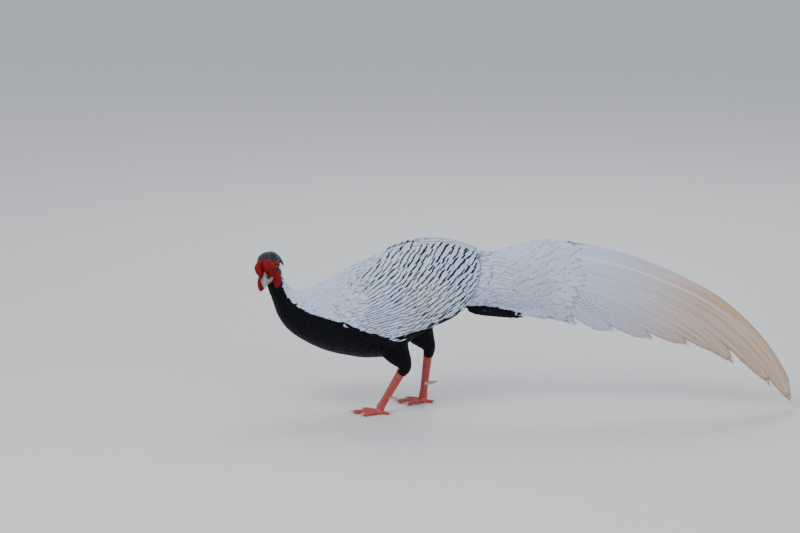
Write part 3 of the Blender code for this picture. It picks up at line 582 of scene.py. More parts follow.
def plug(tree, value, socket):
    """Links a wire or a socket, or sets a constant."""
    if isinstance(value, Wire):
        value = value.socket
    if isinstance(value, bpy.types.NodeSocket):
        tree.links.new(value, socket)
    else:
        socket.default_value = value


def add_node(tree, kind, settings=(), **inputs):
    """A node with its settings and inputs; an input is named with _ for a space."""
    node = tree.nodes.new(kind)
    for name, value in dict(settings).items():
        setattr(node, name, value)
    for name, value in inputs.items():
        plug(tree, value, node.inputs[name.replace("_", " ")])
    return node


def named(tree, name, kind="FLOAT"):
    """A named attribute in a Geometry Nodes tree."""
    node = add_node(tree, "GeometryNodeInputNamedAttribute", {"data_type": kind}, Name=name)
    return Wire(tree, node.outputs["Attribute"])


def keep(tree, geometry, name, value, kind, domain):
    """Stores a named attribute on the geometry that runs on."""
    settings = {"data_type": kind, "domain": domain}
    node = add_node(tree, "GeometryNodeStoreNamedAttribute", settings, Geometry=geometry, Name=name)
    plug(tree, value, node.inputs["Value"])
    return node.outputs["Geometry"]


def sampled(tree, surface, value, place):
    """A vector read at the nearest point of a surface."""
    node = add_node(tree, "GeometryNodeSampleNearestSurface", {"data_type": "FLOAT_VECTOR"}, Mesh=surface)
    plug(tree, value, node.inputs["Value"])
    plug(tree, place, node.inputs["Sample Position"])
    return node.outputs["Value"]


def vector_sum(tree, operation, first, second, scale=None):
    node = add_node(tree, "ShaderNodeVectorMath", {"operation": operation})
    plug(tree, first, node.inputs[0])
    if scale is None:
        plug(tree, second, node.inputs[1])
    else:
        plug(tree, scale, node.inputs["Scale"])
    return node.outputs[0]


# %% [markdown]
# The feather that the tree repeats is a thin closed leaf: a narrow quill end, a full middle and a
# round tip, slightly arched across, its edge a little uneven. Two sizes of it are drawn, a fine
# one for the wings and back and a coarse one for small feathers, each in a few uneven variants.
# Its own map runs across and along it, and carries the marks and the barbs.

# %% One feather and its variants
VANE_THICKNESS = 0.00022
VARIANTS = 5


def vane_width(share, start=0.45, full=0.35, tip=0.58, end=0.12):
    """The width of a feather along it, as a share of its widest."""
    base = mix(start, 1.0, smooth(share / full))
    if share <= tip:
        return base
    return base * max(end, math.sqrt(max(0.0, 1 - ((share - tip) / (1 - tip)) ** 2)))


def vane_object(name, columns, rows, seed, uneven, arch):
    """A closed leaf of unit length and width along +Y, with its map and its heights stored."""
    chance = random.Random(seed)
    points, across_at, along_at, rise_at = [], [], [], []

    def add(across, share, face):
        edge = abs(across) > 0.99
        wobble = chance.uniform(-uneven, uneven) if edge and share > 0.15 else 0.0
        width = 0.5 * vane_width(share) * (1 + wobble)
        reach = share - 0.06 * abs(across) ** 2 * share + (wobble * 0.15 if share > 0.99 else 0.0)
        points.append((across * width, reach, 0.0))
        across_at.append(across)
        along_at.append(share)
        rise_at.append(arch * (1 - across**2) * smooth(share * 2) + face * VANE_THICKNESS * 0.5)

    shares = [k / (rows - 1) for k in range(rows)]
    widths = [2 * k / (columns - 1) - 1 for k in range(columns)]
    for share in shares:
        for across in widths:
            add(across, share, 1)
    under = {}
    for r, share in enumerate(shares):
        for k, across in enumerate(widths):
            rim = k in (0, columns - 1) or r in (0, rows - 1)
            under[r, k] = r * columns + k if rim else len(points)
            if not rim:
                add(across, share, -1)
    faces = []
    for r in range(rows - 1):
        for k in range(columns - 1):
            a = r * columns + k
            faces.append((a, a + 1, a + columns + 1, a + columns))
            faces.append((under[r, k], under[r + 1, k], under[r + 1, k + 1], under[r, k + 1]))
    mesh = bpy.data.meshes.new(name)
    mesh.from_pydata(points, [], faces)
    mesh.shade_smooth()
    obj = bpy.data.objects.new(name, mesh)
    uv = mesh.uv_layers.new(name="Vane")
    for loop in mesh.loops:
        k = loop.vertex_index
        uv.data[loop.index].uv = (0.5 + 0.5 * across_at[k], along_at[k])
    store(obj, "across", across_at)
    store(obj, "run", along_at)
    store(obj, "rise", rise_at)
    return obj


def vane_family(name, columns, rows, count, uneven, arch):
    group = bpy.data.collections.new(name)
    for k in range(count):
        group.objects.link(vane_object(f"{name}_{k}", columns, rows, 11 + k, uneven, arch))
    sample = group.objects[0].data
    print(name, count, "variants of", sum(len(p.vertices) - 2 for p in sample.polygons), "triangles")
    return group


FINE_VANES = vane_family("fine_vane", 9, 9, VARIANTS, 0.10, 0.0010)
SMALL_VANES = vane_family("small_vane", 5, 6, VARIANTS, 0.12, 0.0006)

# %% [markdown]
# The tree itself. Its inputs are the feathers, the guide they lie on, the skin whose unwrap places
# each feather's patch in the bake map, how closely they hug the guide, and the patch's size.
# A vertex ends at the nearest point of the guide, raised along the guide's normal by its own height:
# low at the root and high at the tip, so that each row lies over the roots of the row behind it.

# %% The feather coat tree
PATCH = 0.003
TIP_TUCK = 0.30


def coat_tree():
    tree = bpy.data.node_groups.new("Feather coat", "GeometryNodeTree")
    made = tree.interface
    made.new_socket("Geometry", in_out="OUTPUT", socket_type="NodeSocketGeometry")
    for name, kind in (("Geometry", "Geometry"), ("Vanes", "Collection"), ("Guide", "Object"),
                       ("Skin", "Object"), ("Hug", "Float"), ("Patch", "Float"), ("Material", "Material")):
        made.new_socket(name, in_out="INPUT", socket_type="NodeSocket" + kind)
    given = tree.nodes.new("NodeGroupInput").outputs
    guide = add_node(tree, "GeometryNodeObjectInfo", Object=given["Guide"]).outputs["Geometry"]
    body = add_node(tree, "GeometryNodeObjectInfo", Object=given["Skin"]).outputs["Geometry"]
    place = tree.nodes.new("GeometryNodeInputPosition").outputs[0]
    vector = "FLOAT_VECTOR"
    roots = keep(tree, given["Geometry"], "root_patch",
                 sampled(tree, body, named(tree, "OFBake", vector), place), vector, "POINT")
    info = add_node(tree, "GeometryNodeCollectionInfo", Collection=given["Vanes"],
                    Separate_Children=True, Reset_Children=True)
    turn = add_node(tree, "FunctionNodeAxesToRotation", {"primary_axis": "Y", "secondary_axis": "Z"})
    plug(tree, named(tree, "flow", vector), turn.inputs["Primary Axis"])
    plug(tree, named(tree, "out", vector), turn.inputs["Secondary Axis"])
    size = add_node(tree, "ShaderNodeCombineXYZ", X=named(tree, "width"), Y=named(tree, "length"), Z=1.0)
    grown = add_node(tree, "GeometryNodeInstanceOnPoints", Points=roots, Instance=info.outputs[0],
                     Pick_Instance=True, Instance_Index=named(tree, "kind", "INT"),
                     Rotation=turn.outputs[0], Scale=size.outputs[0])
    real = add_node(tree, "GeometryNodeRealizeInstances", Geometry=grown.outputs[0]).outputs[0]
    height = named(tree, "rise") + named(tree, "low")
    lifted = named(tree, "run") ** 0.8 - named(tree, "run").ramp(0.70, 1.05, 0.0, TIP_TUCK)
    height = height + (named(tree, "high") - named(tree, "low")) * lifted
    height = height + named(tree, "roll") * named(tree, "across")
    near = sampled(tree, guide, place, place)
    normal = sampled(tree, guide, named(tree, "outward", vector), place)
    settled = vector_sum(tree, "ADD", near, vector_sum(tree, "SCALE", normal, None, height))
    free = vector_sum(tree, "ADD", place, vector_sum(tree, "SCALE", named(tree, "out", vector), None, height))
    blend = add_node(tree, "ShaderNodeMix", {"data_type": "VECTOR"})
    plug(tree, given["Hug"], blend.inputs[0])
    plug(tree, free, blend.inputs[4])
    plug(tree, settled, blend.inputs[5])
    moved = add_node(tree, "GeometryNodeSetPosition", Geometry=real, Position=blend.outputs[1])
    vane = vector_sum(tree, "SUBTRACT", named(tree, "Vane", vector), (0.5, 0.5, 0.0))
    patch = vector_sum(tree, "ADD", named(tree, "root_patch", vector),
                       vector_sum(tree, "SCALE", vane, None, given["Patch"]))
    mapped = keep(tree, moved.outputs[0], "OFBake", patch, "FLOAT2", "CORNER")
    painted = add_node(tree, "GeometryNodeSetMaterial", Geometry=mapped, Material=given["Material"])
    shown = add_node(tree, "GeometryNodeSetShadeSmooth", Geometry=painted.outputs[0])
    plug(tree, shown.outputs[0], tree.nodes.new("NodeGroupOutput").inputs[0])
    return tree


COAT_TREE = coat_tree()


def set_inputs(modifier, values):
    for item in modifier.node_group.interface.items_tree:
        if item.in_out == "INPUT" and item.name in values:
            modifier[item.identifier] = values[item.name]


# From this share of a feather on, near its tip, the lines leave a white rim.
UNMARKED_RIM = 0.97
ROOT_NUMBERS = ("width", "length", "low", "high", "roll", "mark", "phase", "ahead", "aside", "apex",
                "thick", "rim", "tone", "cream")


def grow_coat(name, roots, vanes, guide, material, hug=1.0, unwrapped=None):
    """One coat piece from a list of roots, each a dictionary of its numbers."""
    mesh = bpy.data.meshes.new(name)
    mesh.from_pydata([tuple(r["place"]) for r in roots], [], [])
    obj = bpy.data.objects.new(name, mesh)
    bpy.context.scene.collection.objects.link(obj)
    for key in ("flow", "out"):
        store(obj, key, [r[key] for r in roots], "FLOAT_VECTOR")
    for key in ROOT_NUMBERS:
        store(obj, key, [r.get(key, 0.0) for r in roots])
    store(obj, "kind", [r["kind"] for r in roots], "INT")
    step = obj.modifiers.new("coat", "NODES")
    step.node_group = COAT_TREE
    set_inputs(step, {"Vanes": vanes, "Guide": guide, "Skin": unwrapped or skin, "Hug": hug,
                      "Patch": PATCH, "Material": material})
    evaluated(obj)
    for spare in ("root_patch", "flow", "out", "rise", "low", "high", "roll", "kind", "run", "across"):
        layer = obj.data.attributes.get(spare)
        if layer:
            obj.data.attributes.remove(layer)
    return done(obj)

# %% [markdown]
# The plumage itself is nearly without gloss on the white side and blue-black and silky below.
# Each material reads the feather's own map: barbs run out from the shaft towards the tip, and the
# white feathers of the wings and back carry narrow black lines in the shape of a V. A line is where
# a count passes a half; the count starts from the feather's own phase and grows along the shaft and
# across it, mirrored at the apex. Phase and growth come with each feather, so that the lines of
# neighbours join into long wavy ones, as on the bird.

# %% Plumage materials


def new_material(name, roughness, **sockets):
    made = bpy.data.materials.new(name)
    made.use_nodes = True
    shader = made.node_tree.nodes["Principled BSDF"]
    shader.inputs["Roughness"].default_value = roughness
    for key, value in sockets.items():
        shader.inputs[key.replace("_", " ")].default_value = value
    return made, made.node_tree, shader


def reading(tree, name):
    """A number stored on the mesh, in a material."""
    node = add_node(tree, "ShaderNodeAttribute", {"attribute_name": name})
    return Wire(tree, node.outputs["Fac"])


def vane_map(tree):
    """Across the feather from -1 to 1, and along it from 0 to 1."""
    node = add_node(tree, "ShaderNodeUVMap", {"uv_map": "Vane"})
    parts = add_node(tree, "ShaderNodeSeparateXYZ", Vector=node.outputs[0])
    return (Wire(tree, parts.outputs[0]) - 0.5) * 2.0, Wire(tree, parts.outputs[1])


def noise(tree, scale, detail=2.0, place=None):
    """A noise on the object's own coordinates, or on others that are given."""
    place = place or tree.nodes.new("ShaderNodeTexCoord").outputs["Object"]
    made = add_node(tree, "ShaderNodeTexNoise", Vector=place, Scale=scale, Detail=detail)
    return Wire(tree, made.outputs[0])


def colour_mix(tree, share, first, second):
    node = add_node(tree, "ShaderNodeMix", {"data_type": "RGBA"})
    plug(tree, share, node.inputs[0])
    for value, socket in ((first, node.inputs[6]), (second, node.inputs[7])):
        plug(tree, (*value, 1.0) if isinstance(value, tuple) else value, socket)
    return node.outputs[2]


def bump(tree, shader, height, depth, strength=0.6):
    node = add_node(tree, "ShaderNodeBump", Strength=strength, Distance=depth, Height=height)
    plug(tree, node.outputs[0], shader.inputs["Normal"])


def barbs(tree, across, run, count):
    """Fine ridges that leave the shaft at a slant: about 0 between two barbs and 1 on one."""
    length, width = reading(tree, "length"), reading(tree, "width")
    phase = (run * length - across.math("ABSOLUTE") * width * 0.5) * count
    return phase.math("SINE") * 0.5 + 0.5


# Barbs to the metre of a feather, on white and on black feathers.
WHITE_BARBS, BLACK_BARBS = 5200.0, 7500.0
# The two whites are tinted blue: painted shade, the blue of shaded daylight put into the colour of white
# feathers.
WHITE = (0.590, 0.700, 0.900)
WHITE_DEEP = (0.415, 0.515, 0.715)
WARM = (0.760, 0.640, 0.430)
BUFF = (0.570, 0.340, 0.140)
LINE_BLACK = (0.012, 0.013, 0.020)
SHAFT = (0.90, 0.90, 0.92)


def white_plumage(name, warm, streaky):
    """Warm is the colour of cream feathers, streaky how unevenly it lies along them."""
    made, tree, shader = new_material(name, 0.72, Specular_IOR_Level=0.25)
    across, run = vane_map(tree)
    tone, mark, apex = (reading(tree, n) for n in ("tone", "mark", "apex"))
    side = (across * across + 0.012) ** 0.5
    away = across - apex
    arm = ((away * away + 0.01) ** 0.5) * reading(tree, "aside")
    waver = (noise(tree, 60.0, 1.0) - 0.5) * 0.55
    count = reading(tree, "phase") + run * reading(tree, "ahead") + arm + waver
    far = (count.math("FRACT") - 0.5).math("ABSOLUTE")
    thick = reading(tree, "thick") * (noise(tree, 90.0) * 1.1 + 0.45)
    line = far.ramp(thick + 0.045, thick - 0.025)
    line = line * mark * run.ramp(reading(tree, "rim") + 0.03, reading(tree, "rim"))
    fine = barbs(tree, across, run, WHITE_BARBS)
    base = colour_mix(tree, tone, WHITE_DEEP, WHITE)
    along_it = add_node(tree, "ShaderNodeCombineXYZ", X=across * 3.5, Y=run * 2.5, Z=tone * 40.0)
    streaks = noise(tree, 1.6, 4.0, along_it.outputs[0]).ramp(0.30, 0.66) * streaky
    base = colour_mix(tree, reading(tree, "cream") * (streaks + (1.0 - streaky)), base, warm)
    base = colour_mix(tree, fine * 0.10, base, WHITE_DEEP)
    shaft = side.ramp(0.16, 0.115) * run.ramp(0.9, 0.5) * 0.35
    base = colour_mix(tree, shaft, base, SHAFT)
    plug(tree, colour_mix(tree, line, base, LINE_BLACK), shader.inputs["Base Color"])
    bump(tree, shader, fine * 0.6 + shaft, 0.0002, 0.35)
    return made


def black_plumage(name, dark, light, glint, roughness, shine):
    made, tree, shader = new_material(name, roughness, Specular_IOR_Level=shine, Sheen_Weight=0.02,
                                      Sheen_Roughness=0.4, Sheen_Tint=(0.35, 0.42, 0.75, 1))
    across, run = vane_map(tree)
    tone = reading(tree, "tone")
    fine = barbs(tree, across, run, BLACK_BARBS)
    base = colour_mix(tree, tone, dark, light)
    # The barbs are lightened towards glint, a painted highlight, strongest on the crest.
    plug(tree, colour_mix(tree, fine * 0.3, base, glint), shader.inputs["Base Color"])
    bump(tree, shader, fine, 0.00015, 0.3)
    return made


WHITE_PLUMAGE = white_plumage("white_plumage", WARM, 0.0)
TAIL_PLUMAGE = white_plumage("tail_plumage", BUFF, 0.40)
BLACK_PLUMAGE = black_plumage("black_plumage", (0.0008, 0.0008, 0.0012), (0.0016, 0.0020, 0.0040),
                              (0.0030, 0.0038, 0.0075), 0.52, 0.12)
CREST_PLUMAGE = black_plumage("crest_plumage", (0.0016, 0.0020, 0.0026), (0.0180, 0.0255, 0.0285),
                              (0.0800, 0.1020, 0.1060), 0.40, 0.35)

# %% [markdown]
# White and black meet along a ragged line that runs from behind the eye down the side of the neck
# and along the flank. It is a line seen from the side, and a place is black if it lies below it.
# The skin is coloured by the same rule as the coat, so no white shows between black feathers.

# %% Where the black begins
BLACK_LINE = [
    (-0.4000, 0.2760),
    (-0.4400, 0.2720),
    (-0.4440, 0.2660),
    (-0.4425, 0.2576),
    (-0.4405, 0.2410),
    (-0.4370, 0.2265),
    (-0.4248, 0.2080),
    (-0.4068, 0.1940),
    (-0.3708, 0.1806),
    (-0.3348, 0.1735),
    (-0.3000, 0.1610),
    (-0.2718, 0.1489),
    (-0.2412, 0.1415),
    (-0.2052, 0.1510),
    (-0.1746, 0.1670),
    (-0.1332, 0.1840),
    (-0.1062, 0.1950),
    (-0.0850, 0.1915),
    (-0.0500, 0.1870),
]


def below_black_line(place):
    """How far a place lies below or ahead of the line, seen from the side."""
    x, z = place[0] - SHIFT[0], place[2]
    best = None
    for (ax, az), (bx, bz) in zip(BLACK_LINE, BLACK_LINE[1:]):
        dx, dz = bx - ax, bz - az
        t = min(1.0, max(0.0, ((x - ax) * dx + (z - az) * dz) / (dx * dx + dz * dz)))
        gap = math.hypot(x - ax - dx * t, z - az - dz * t)
        if best is None or gap < best[0]:
            best = (gap, (x - ax) * dz - (z - az) * dx)
    return math.copysign(best[0], best[1])


def unwrap(obj):
    """An unwrap of the skin's own shape, in a map named OFBake."""
    obj.data.uv_layers.new(name="OFBake")
    bpy.context.view_layer.objects.active = obj
    obj.select_set(True)
    bpy.ops.object.mode_set(mode="EDIT")
    bpy.ops.mesh.select_all(action="SELECT")
    bpy.ops.uv.smart_project(angle_limit=math.radians(66), island_margin=0.002)
    bpy.ops.object.mode_set(mode="OBJECT")
    obj.select_set(False)


def skin_material():
    made, tree, shader = new_material("skin_down", 0.75)
    down = noise(tree, 420.0, 3.0)
    white = colour_mix(tree, down, WHITE_DEEP, WHITE)
    black = colour_mix(tree, down, (0.003, 0.003, 0.005), (0.012, 0.013, 0.022))
    plug(tree, colour_mix(tree, reading(tree, "dark"), white, black), shader.inputs["Base Color"])
    bump(tree, shader, down, 0.0008)
    return made


unwrap(skin)
store(skin, "outward", vertex_normals(skin), "FLOAT_VECTOR")
store(skin, "dark", [1.0 if below_black_line(p) > 0 else 0.0 for p in vertices(skin)])
done(skin, skin_material(), ("torso", "neck", "head", "rump", "thigh_left", "thigh_right"))

# %% [markdown]
# Feathers grow in tracts. A root is found by walking a tract's rows from the front to the rear,
# half a step to the side in every other row, then dropping it onto its guide. It lies along the
# rows, so its flow is the way to the next place behind it.

# %% Roots of a tract
SEED = 7
UNEVEN_LIE, UNEVEN_SIZE, UNEVEN_HEIGHT = 0.05, 0.08, 0.00018


def drop(surface, place):
    """The nearest place on a surface's search tree, and the outward direction there."""
    tree, normals, polygons = surface
    near, _, face, _ = tree.find_nearest(Vector(place))
    return np.array(near), unit(sum(normals[k] for k in polygons[face].vertices))


SKIN_SURFACE = (search_tree(skin), vertex_normals(skin), skin.data.polygons)


def root(chance, surface, here, behind, length, width, low, high, **numbers):
    """One feather's numbers, a little uneven in size and lie."""
    place, out = drop(surface, here + SHIFT)
    flow = unit(np.asarray(behind) - np.asarray(here))
    side = np.cross(flow, out)
    flow = unit(flow + side * chance.gauss(0, UNEVEN_LIE))
    flow = unit(flow - out * np.dot(flow, out))
    grown = chance.uniform(1 - UNEVEN_SIZE, 1 + UNEVEN_SIZE)
    return {"place": place, "out": out, "flow": flow, "length": length * grown, "width": width * grown,
            "low": low, "high": high + chance.uniform(-1, 1) * UNEVEN_HEIGHT,
            "kind": chance.randrange(VARIANTS),
            "tone": chance.uniform(0.45, 1.0), "rim": UNMARKED_RIM, **numbers}


def guide_grid(name, places):
    """A grid of places as a guide surface with its smooth normals; it is taken away at the end."""
    rows, columns = len(places), len(places[0])
    faces = [(r * columns + k, r * columns + k + 1, (r + 1) * columns + k + 1, (r + 1) * columns + k)
             for r in range(rows - 1) for k in range(columns - 1)]
    return mesh_object(name, [p for row in places for p in row], faces)


def surface_of(obj, away_from):
    """Stores outward normals on a guide, and gives what drop() needs."""
    normals, co = vertex_normals(obj), vertices(obj)
    flip = np.sign(np.einsum("ij,ij->i", normals, co - away_from(co)))
    flip[flip == 0] = 1
    normals = normals * np.where(flip.sum() >= 0, 1, -1)
    store(obj, "outward", normals, "FLOAT_VECTOR")
    return search_tree(obj), normals, obj.data.polygons

# %% [markdown]
# The body tract runs from the nape to the rump, all round. Feathers are smallest on the neck and
# longest on the back. Each root asks which side of the black line it is on, and so joins the white
# coat or the black one. Places under the folded wings are left out, as nothing of them shows.

# %% Body tract
# Station on the body line, spacing of the roots, feather length and feather width there.
BODY_FEATHERS = [
    (0.0, 0.0105, 0.036, 0.0210),
    (3.0, 0.0105, 0.036, 0.0210),
    (6.0, 0.0095, 0.030, 0.0180),
    (8.0, 0.0075, 0.024, 0.0140),
    (10.0, 0.0060, 0.019, 0.0110),
    (12.0, 0.0045, 0.015, 0.0080),
    (14.9, 0.0034, 0.012, 0.0062),
]
NECK_STATION, BREAST_STATION = 11, 8.0
# How ragged the edge of the black is on the flank and on the neck, and how far above it the white
# feathers are narrow and long.
FLANK_RAGGED, NECK_RAGGED, FRINGE = 0.0022, 0.0008, 0.010
BLACK_NARROWER = 0.86
# The black lines, by place along the bird: strength, the level gap between two lines, their
# thickness as a share of it; and the upright gap between two lines, by height.
MARKS = [
    (-0.4000, 0.00, 0.0095, 0.05),
    (-0.3600, 0.12, 0.0098, 0.08),
    (-0.3300, 0.72, 0.0102, 0.11),
    (-0.3050, 0.95, 0.0106, 0.13),
    (-0.2700, 1.00, 0.0110, 0.145),
    (-0.2300, 1.00, 0.0118, 0.155),
    (-0.1700, 1.00, 0.0140, 0.16),
    (-0.0900, 1.00, 0.0150, 0.17),
    (-0.0800, 0.40, 0.0090, 0.12),
]
UPRIGHT_GAPS = [(0.10, 0.0088), (0.15, 0.0090), (0.19, 0.0093), (0.22, 0.0106), (0.25, 0.0150),
                (0.28, 0.0200), (0.33, 0.0200)]
BACK_GAP, BACK_STRENGTH = 0.0062, 0.65
# On the rump: the level gap by place, the upright gap, and the strength and thickness of the lines.
RUMP_GAPS = [(-0.12, 0.20), (-0.075, 0.06), (-0.045, 0.012), (0.20, 0.0100)]
RUMP_RISE, RUMP_STRENGTH, RUMP_THICK, RUMP_STATION = 0.0062, 0.42, 0.13, 1.6
# Lines break where the cell changes that a feather's root lies in, and waver by a slow noise.
BREAK_CELL, BREAK, WAVER_SIZE, WAVER = np.array([0.034, 0.05, 0.024]), 0.7, 0.030, 0.4
# Heights on the wing between which the lines turn from level to steep, and their level share.
LEVEL_HEIGHTS, LEVEL_SHARE = (0.15, 0.215), 0.6


def summed(table, column, start, end):
    """How many gaps lie between two places."""
    steps = np.linspace(start, end, 24)
    gaps = [lookup(table, s)[column] for s in steps]
    return (end - start) * sum(1 / g for g in gaps) / len(gaps)


def levelling(z):
    """Low on the wing the lines lie more level."""
    low, high = LEVEL_HEIGHTS
    return mix(LEVEL_SHARE, 1.0, smooth((z - low) / (high - low)))


def marking(made, chance, kind, side):
    """Adds the black lines that pass a feather; on the back they run along it."""
    x, z = made["place"][0] - SHIFT[0], made["place"][2]
    strength, level_gap, thick = lookup(MARKS, x)
    upright_gap = lookup(UPRIGHT_GAPS, z)[0]
    flow, across = made["flow"], np.cross(made["flow"], made["out"])
    if kind == "rump":
        strength, thick = RUMP_STRENGTH, RUMP_THICK
        phase = summed(RUMP_GAPS, 0, -0.10, x) + z / RUMP_RISE
        slope = np.array([1 / lookup(RUMP_GAPS, x)[0], 0.0, 1 / RUMP_RISE])
    elif kind == "back":
        strength = strength * BACK_STRENGTH
        low = lookup(sorted((s[0], s[2] + s[3]) for s in BODY_LINE), x)[0] - z
        phase = low / BACK_GAP + 2.0 * made["out"][1] * side
        slope = np.array([0.0, side * 0.6, -0.8]) / BACK_GAP
    else:
        steeper = mix(1.55, 1.0, smooth((x + 0.29) / 0.13))
        counted = summed(MARKS, 1, -0.20, x)
        phase = counted * levelling(z) - summed(UPRIGHT_GAPS, 0, LEVEL_HEIGHTS[1], z) * steeper
        turning = counted * (levelling(z + 0.001) - levelling(z - 0.001)) / 0.002
        slope = np.array([levelling(z) / level_gap, 0.0, turning - steeper / upright_gap])
    down = 1 if across[2] < 0 else -1
    drift = BREAK * turbulence.cell(Vector(made["place"] / BREAK_CELL))
    drift += WAVER * turbulence.noise(Vector(made["place"] / WAVER_SIZE))
    aside = float(np.dot(slope, across)) * made["width"] * 0.5 * down
    made.update(phase=phase + drift + chance.gauss(0, 0.05) + down * made.get("apex", 0.0) * aside,
                ahead=float(np.dot(slope, flow)) * made["length"], aside=aside,
                mark=min(1.0, strength * chance.uniform(0.97, 1.12)),
                thick=thick * chance.uniform(0.85, 1.15))


def under_wing(station, angle):
    if station < 0.3 or station > 6.4:
        return False
    top, low = lookup(WING_EDGES, station)
    turn = math.degrees(min(angle, 2 * math.pi - angle))
    return top + 9 < turn < low - 9


def body_roots(chance):
    """Roots of the white and of the black coat on body and neck."""
    white, black = [], []
    station, row = NAPE, 0
    while station > -0.2:
        spacing, length, width = lookup(BODY_FEATHERS, station)
        half_height, half_width = body_section(max(0.0, station))[2:]
        count = int(math.pi * (half_height + half_width) / spacing)
        for k in range(count):
            angle = 2 * math.pi * (k + 0.5 * (row % 2)) / count
            if under_wing(station, angle):
                continue
            wobble = station + chance.uniform(-0.25, 0.25) * spacing / 0.03
            here, behind = body_point(wobble, angle), body_point(wobble - 0.12, angle)
            high = mix(0.0010, 0.0024, smooth((9 - station) / 6))
            made = root(chance, SKIN_SURFACE, here, behind, length, width, -0.0006, high)
            below = below_black_line(made["place"] + made["flow"] * length * 0.55)
            dark = below > chance.gauss(0, FLANK_RAGGED if station < NECK_STATION else NECK_RAGGED)
            if below > -FRINGE and not dark and BREAST_STATION < station < NECK_STATION:
                made.update(width=width * 0.70, length=length * 1.40)
            if dark:
                made["width"] *= BLACK_NARROWER
                black.append(made)
            else:
                side = 1 if angle < math.pi else -1
                made.update(tone=chance.uniform(0.8, 1.0), apex=0.0)
                marking(made, chance, "rump" if station < RUMP_STATION else "back", side)
                if station < RUMP_STATION:
                    made.update(high=0.0012, length=length * 1.25)
                white.append(made)
        station -= spacing / max(station_length(station), 0.008)
        row += 1
    return white, black


body_white, body_black = body_roots(random.Random(SEED))
print(len(body_white), "white roots and", len(body_black), "black roots on the body")
grow_coat("back_feathers", body_white, SMALL_VANES, skin, WHITE_PLUMAGE)
grow_coat("breast_feathers", body_black, SMALL_VANES, skin, BLACK_PLUMAGE)

# %% [markdown]
# The folded wing hides under its own coverts and the long feathers of the shoulder. Its guide is
# the wing's surface carried on past its edges, so that the last feathers hang free and curl over
# the rump. Each feather is rolled a little, so that the upper one lies over the one below it and
# only the lower half of its V shows, which makes the long wavy lines of the rear of the bird.

# %% Wing tract
WING_FRONT, WING_REAR = 7.9, -0.42
WING_DEPTH, WING_FRONT_DEPTH = 0.0026, 0.0034
WING_FRINGE_END = -0.225
# The yellowish patch of the wing: place, height and the size each way.
YELLOW_PATCH = (-0.205, 0.215, 0.030, 0.022)
# Station, spacing along and down the wing, feather length and width.
WING_FEATHERS = [
    (-0.4, 0.0125, 0.0095, 0.044, 0.0250),
    (2.0, 0.0120, 0.0095, 0.046, 0.0250),
    (4.0, 0.0105, 0.0085, 0.038, 0.0220),
    (6.0, 0.0085, 0.0075, 0.030, 0.0180),
    (7.9, 0.0075, 0.0065, 0.024, 0.0150),
]
# A wing feather with less room than this before the wing's end is left out. That end over the
# rump, seen from the side: height, and place along the bird.
SHORTEST_FREE = 0.010
HUMP_END = [(0.190, -0.118), (0.205, -0.106), (0.225, -0.0925), (0.247, -0.0855), (0.277, -0.0815),
            (0.298, -0.0870), (0.312, -0.0960)]


def wing_guide_point(station, share, side):
    """The wing's surface, curled in past its rear end and hung down past its lower edge."""
    over = max(0.0, -station)
    held = max(0.0, station)
    front = smooth((8.0 - held) / 2.8)
    lift = (WING_LIFT - 0.0006) * front * mix(0.75, 1.0, smooth(held / 1.5))
    lift -= mix(WING_FRONT_DEPTH, WING_DEPTH, front)
    inner = min(1.0, max(0.0, share))
    place = wing_point(held, inner, lift, side)
    if share > 1.0:
        below = place - wing_point(held, 0.98, lift, side)
        place = place + unit(below + np.array([0, -side * 0.2 * abs(below[2]), 0])) * (share - 1.0) * 0.12
    if share < 0.0:
        place = place + np.array([0.0, side * share * 0.10, 0.0])
    middle = body_section(held)[0]
    return mix(place, middle, 0.9 * over**1.8) + np.array([0.028 * over, 0.0, 0.0])


def wing_roots(side, chance):
    white, black = [], []
    station, row = WING_FRONT, 0
    while station > 1.0:
        spacing, down, length, width = lookup(WING_FEATHERS, station)
        line = [wing_guide_point(station, share, side) for share in np.linspace(0, 1, 12)]
        height = sum(np.linalg.norm(b - a) for a, b in zip(line, line[1:]))
        count = max(3, int(height / down))
        for k in range(-1, count):
            share = (k + 0.5 * (row % 2) + 0.1) / count
            wobble = station + chance.uniform(-0.12, 0.12)
            here, behind = (wing_guide_point(s, share, side) for s in (wobble, wobble - 0.15))
            long = length * mix(1.0, 1.25, smooth((share - 0.7) / 0.3) * smooth((4.5 - station) / 3))
            long *= mix(0.80, 1.0, smooth((station - 1.0) / 1.0))
            high = mix(0.0007, 0.0024, smooth((7.2 - station) / 3.5))
            made = root(chance, WING_SURFACES[side], here, behind, long, width, 0.0002, high,
                        roll=0.0007 * -side, apex=0.45 * side)
            x, _, z = made["place"]
            free = lookup(HUMP_END, z)[0] + chance.uniform(-1, 1) * 0.0008 - x + SHIFT[0]
            if free < SHORTEST_FREE:
                continue
            made["rim"] = mix(UNMARKED_RIM, 0.88, smooth((2.2 - station) / 1.0))
            made["length"] = min(made["length"], free / max(0.5, made["flow"][0]))
            below = below_black_line(made["place"] + made["flow"] * long * 0.45 - [0, 0, width * 0.3])
            dark = below > chance.gauss(0, 0.002)
            if -FRINGE < below and not dark and x < WING_FRINGE_END:
                made.update(width=width * 0.62, length=long * 1.35)
            if dark:
                made["width"] = width * 0.6
                black.append(made)
                continue
            marking(made, chance, "back" if share < 0.10 and station < 4.5 else "wing", side)
            yellow_x, yellow_z, long_way, high_way = YELLOW_PATCH
            yellowish = math.exp(-((x - yellow_x) / long_way) ** 2 - ((z - yellow_z) / high_way) ** 2)
            lowest = smooth((share - 0.75) / 0.15)
            made["cream"] = 0.55 * yellowish * chance.uniform(0.3, 1.0) + 0.25 * lowest * chance.random()
            made["tone"] = chance.uniform(0.7, 1.0)
            white.append(made)
        station -= spacing / station_length(station)
        row += 1
    return white, black


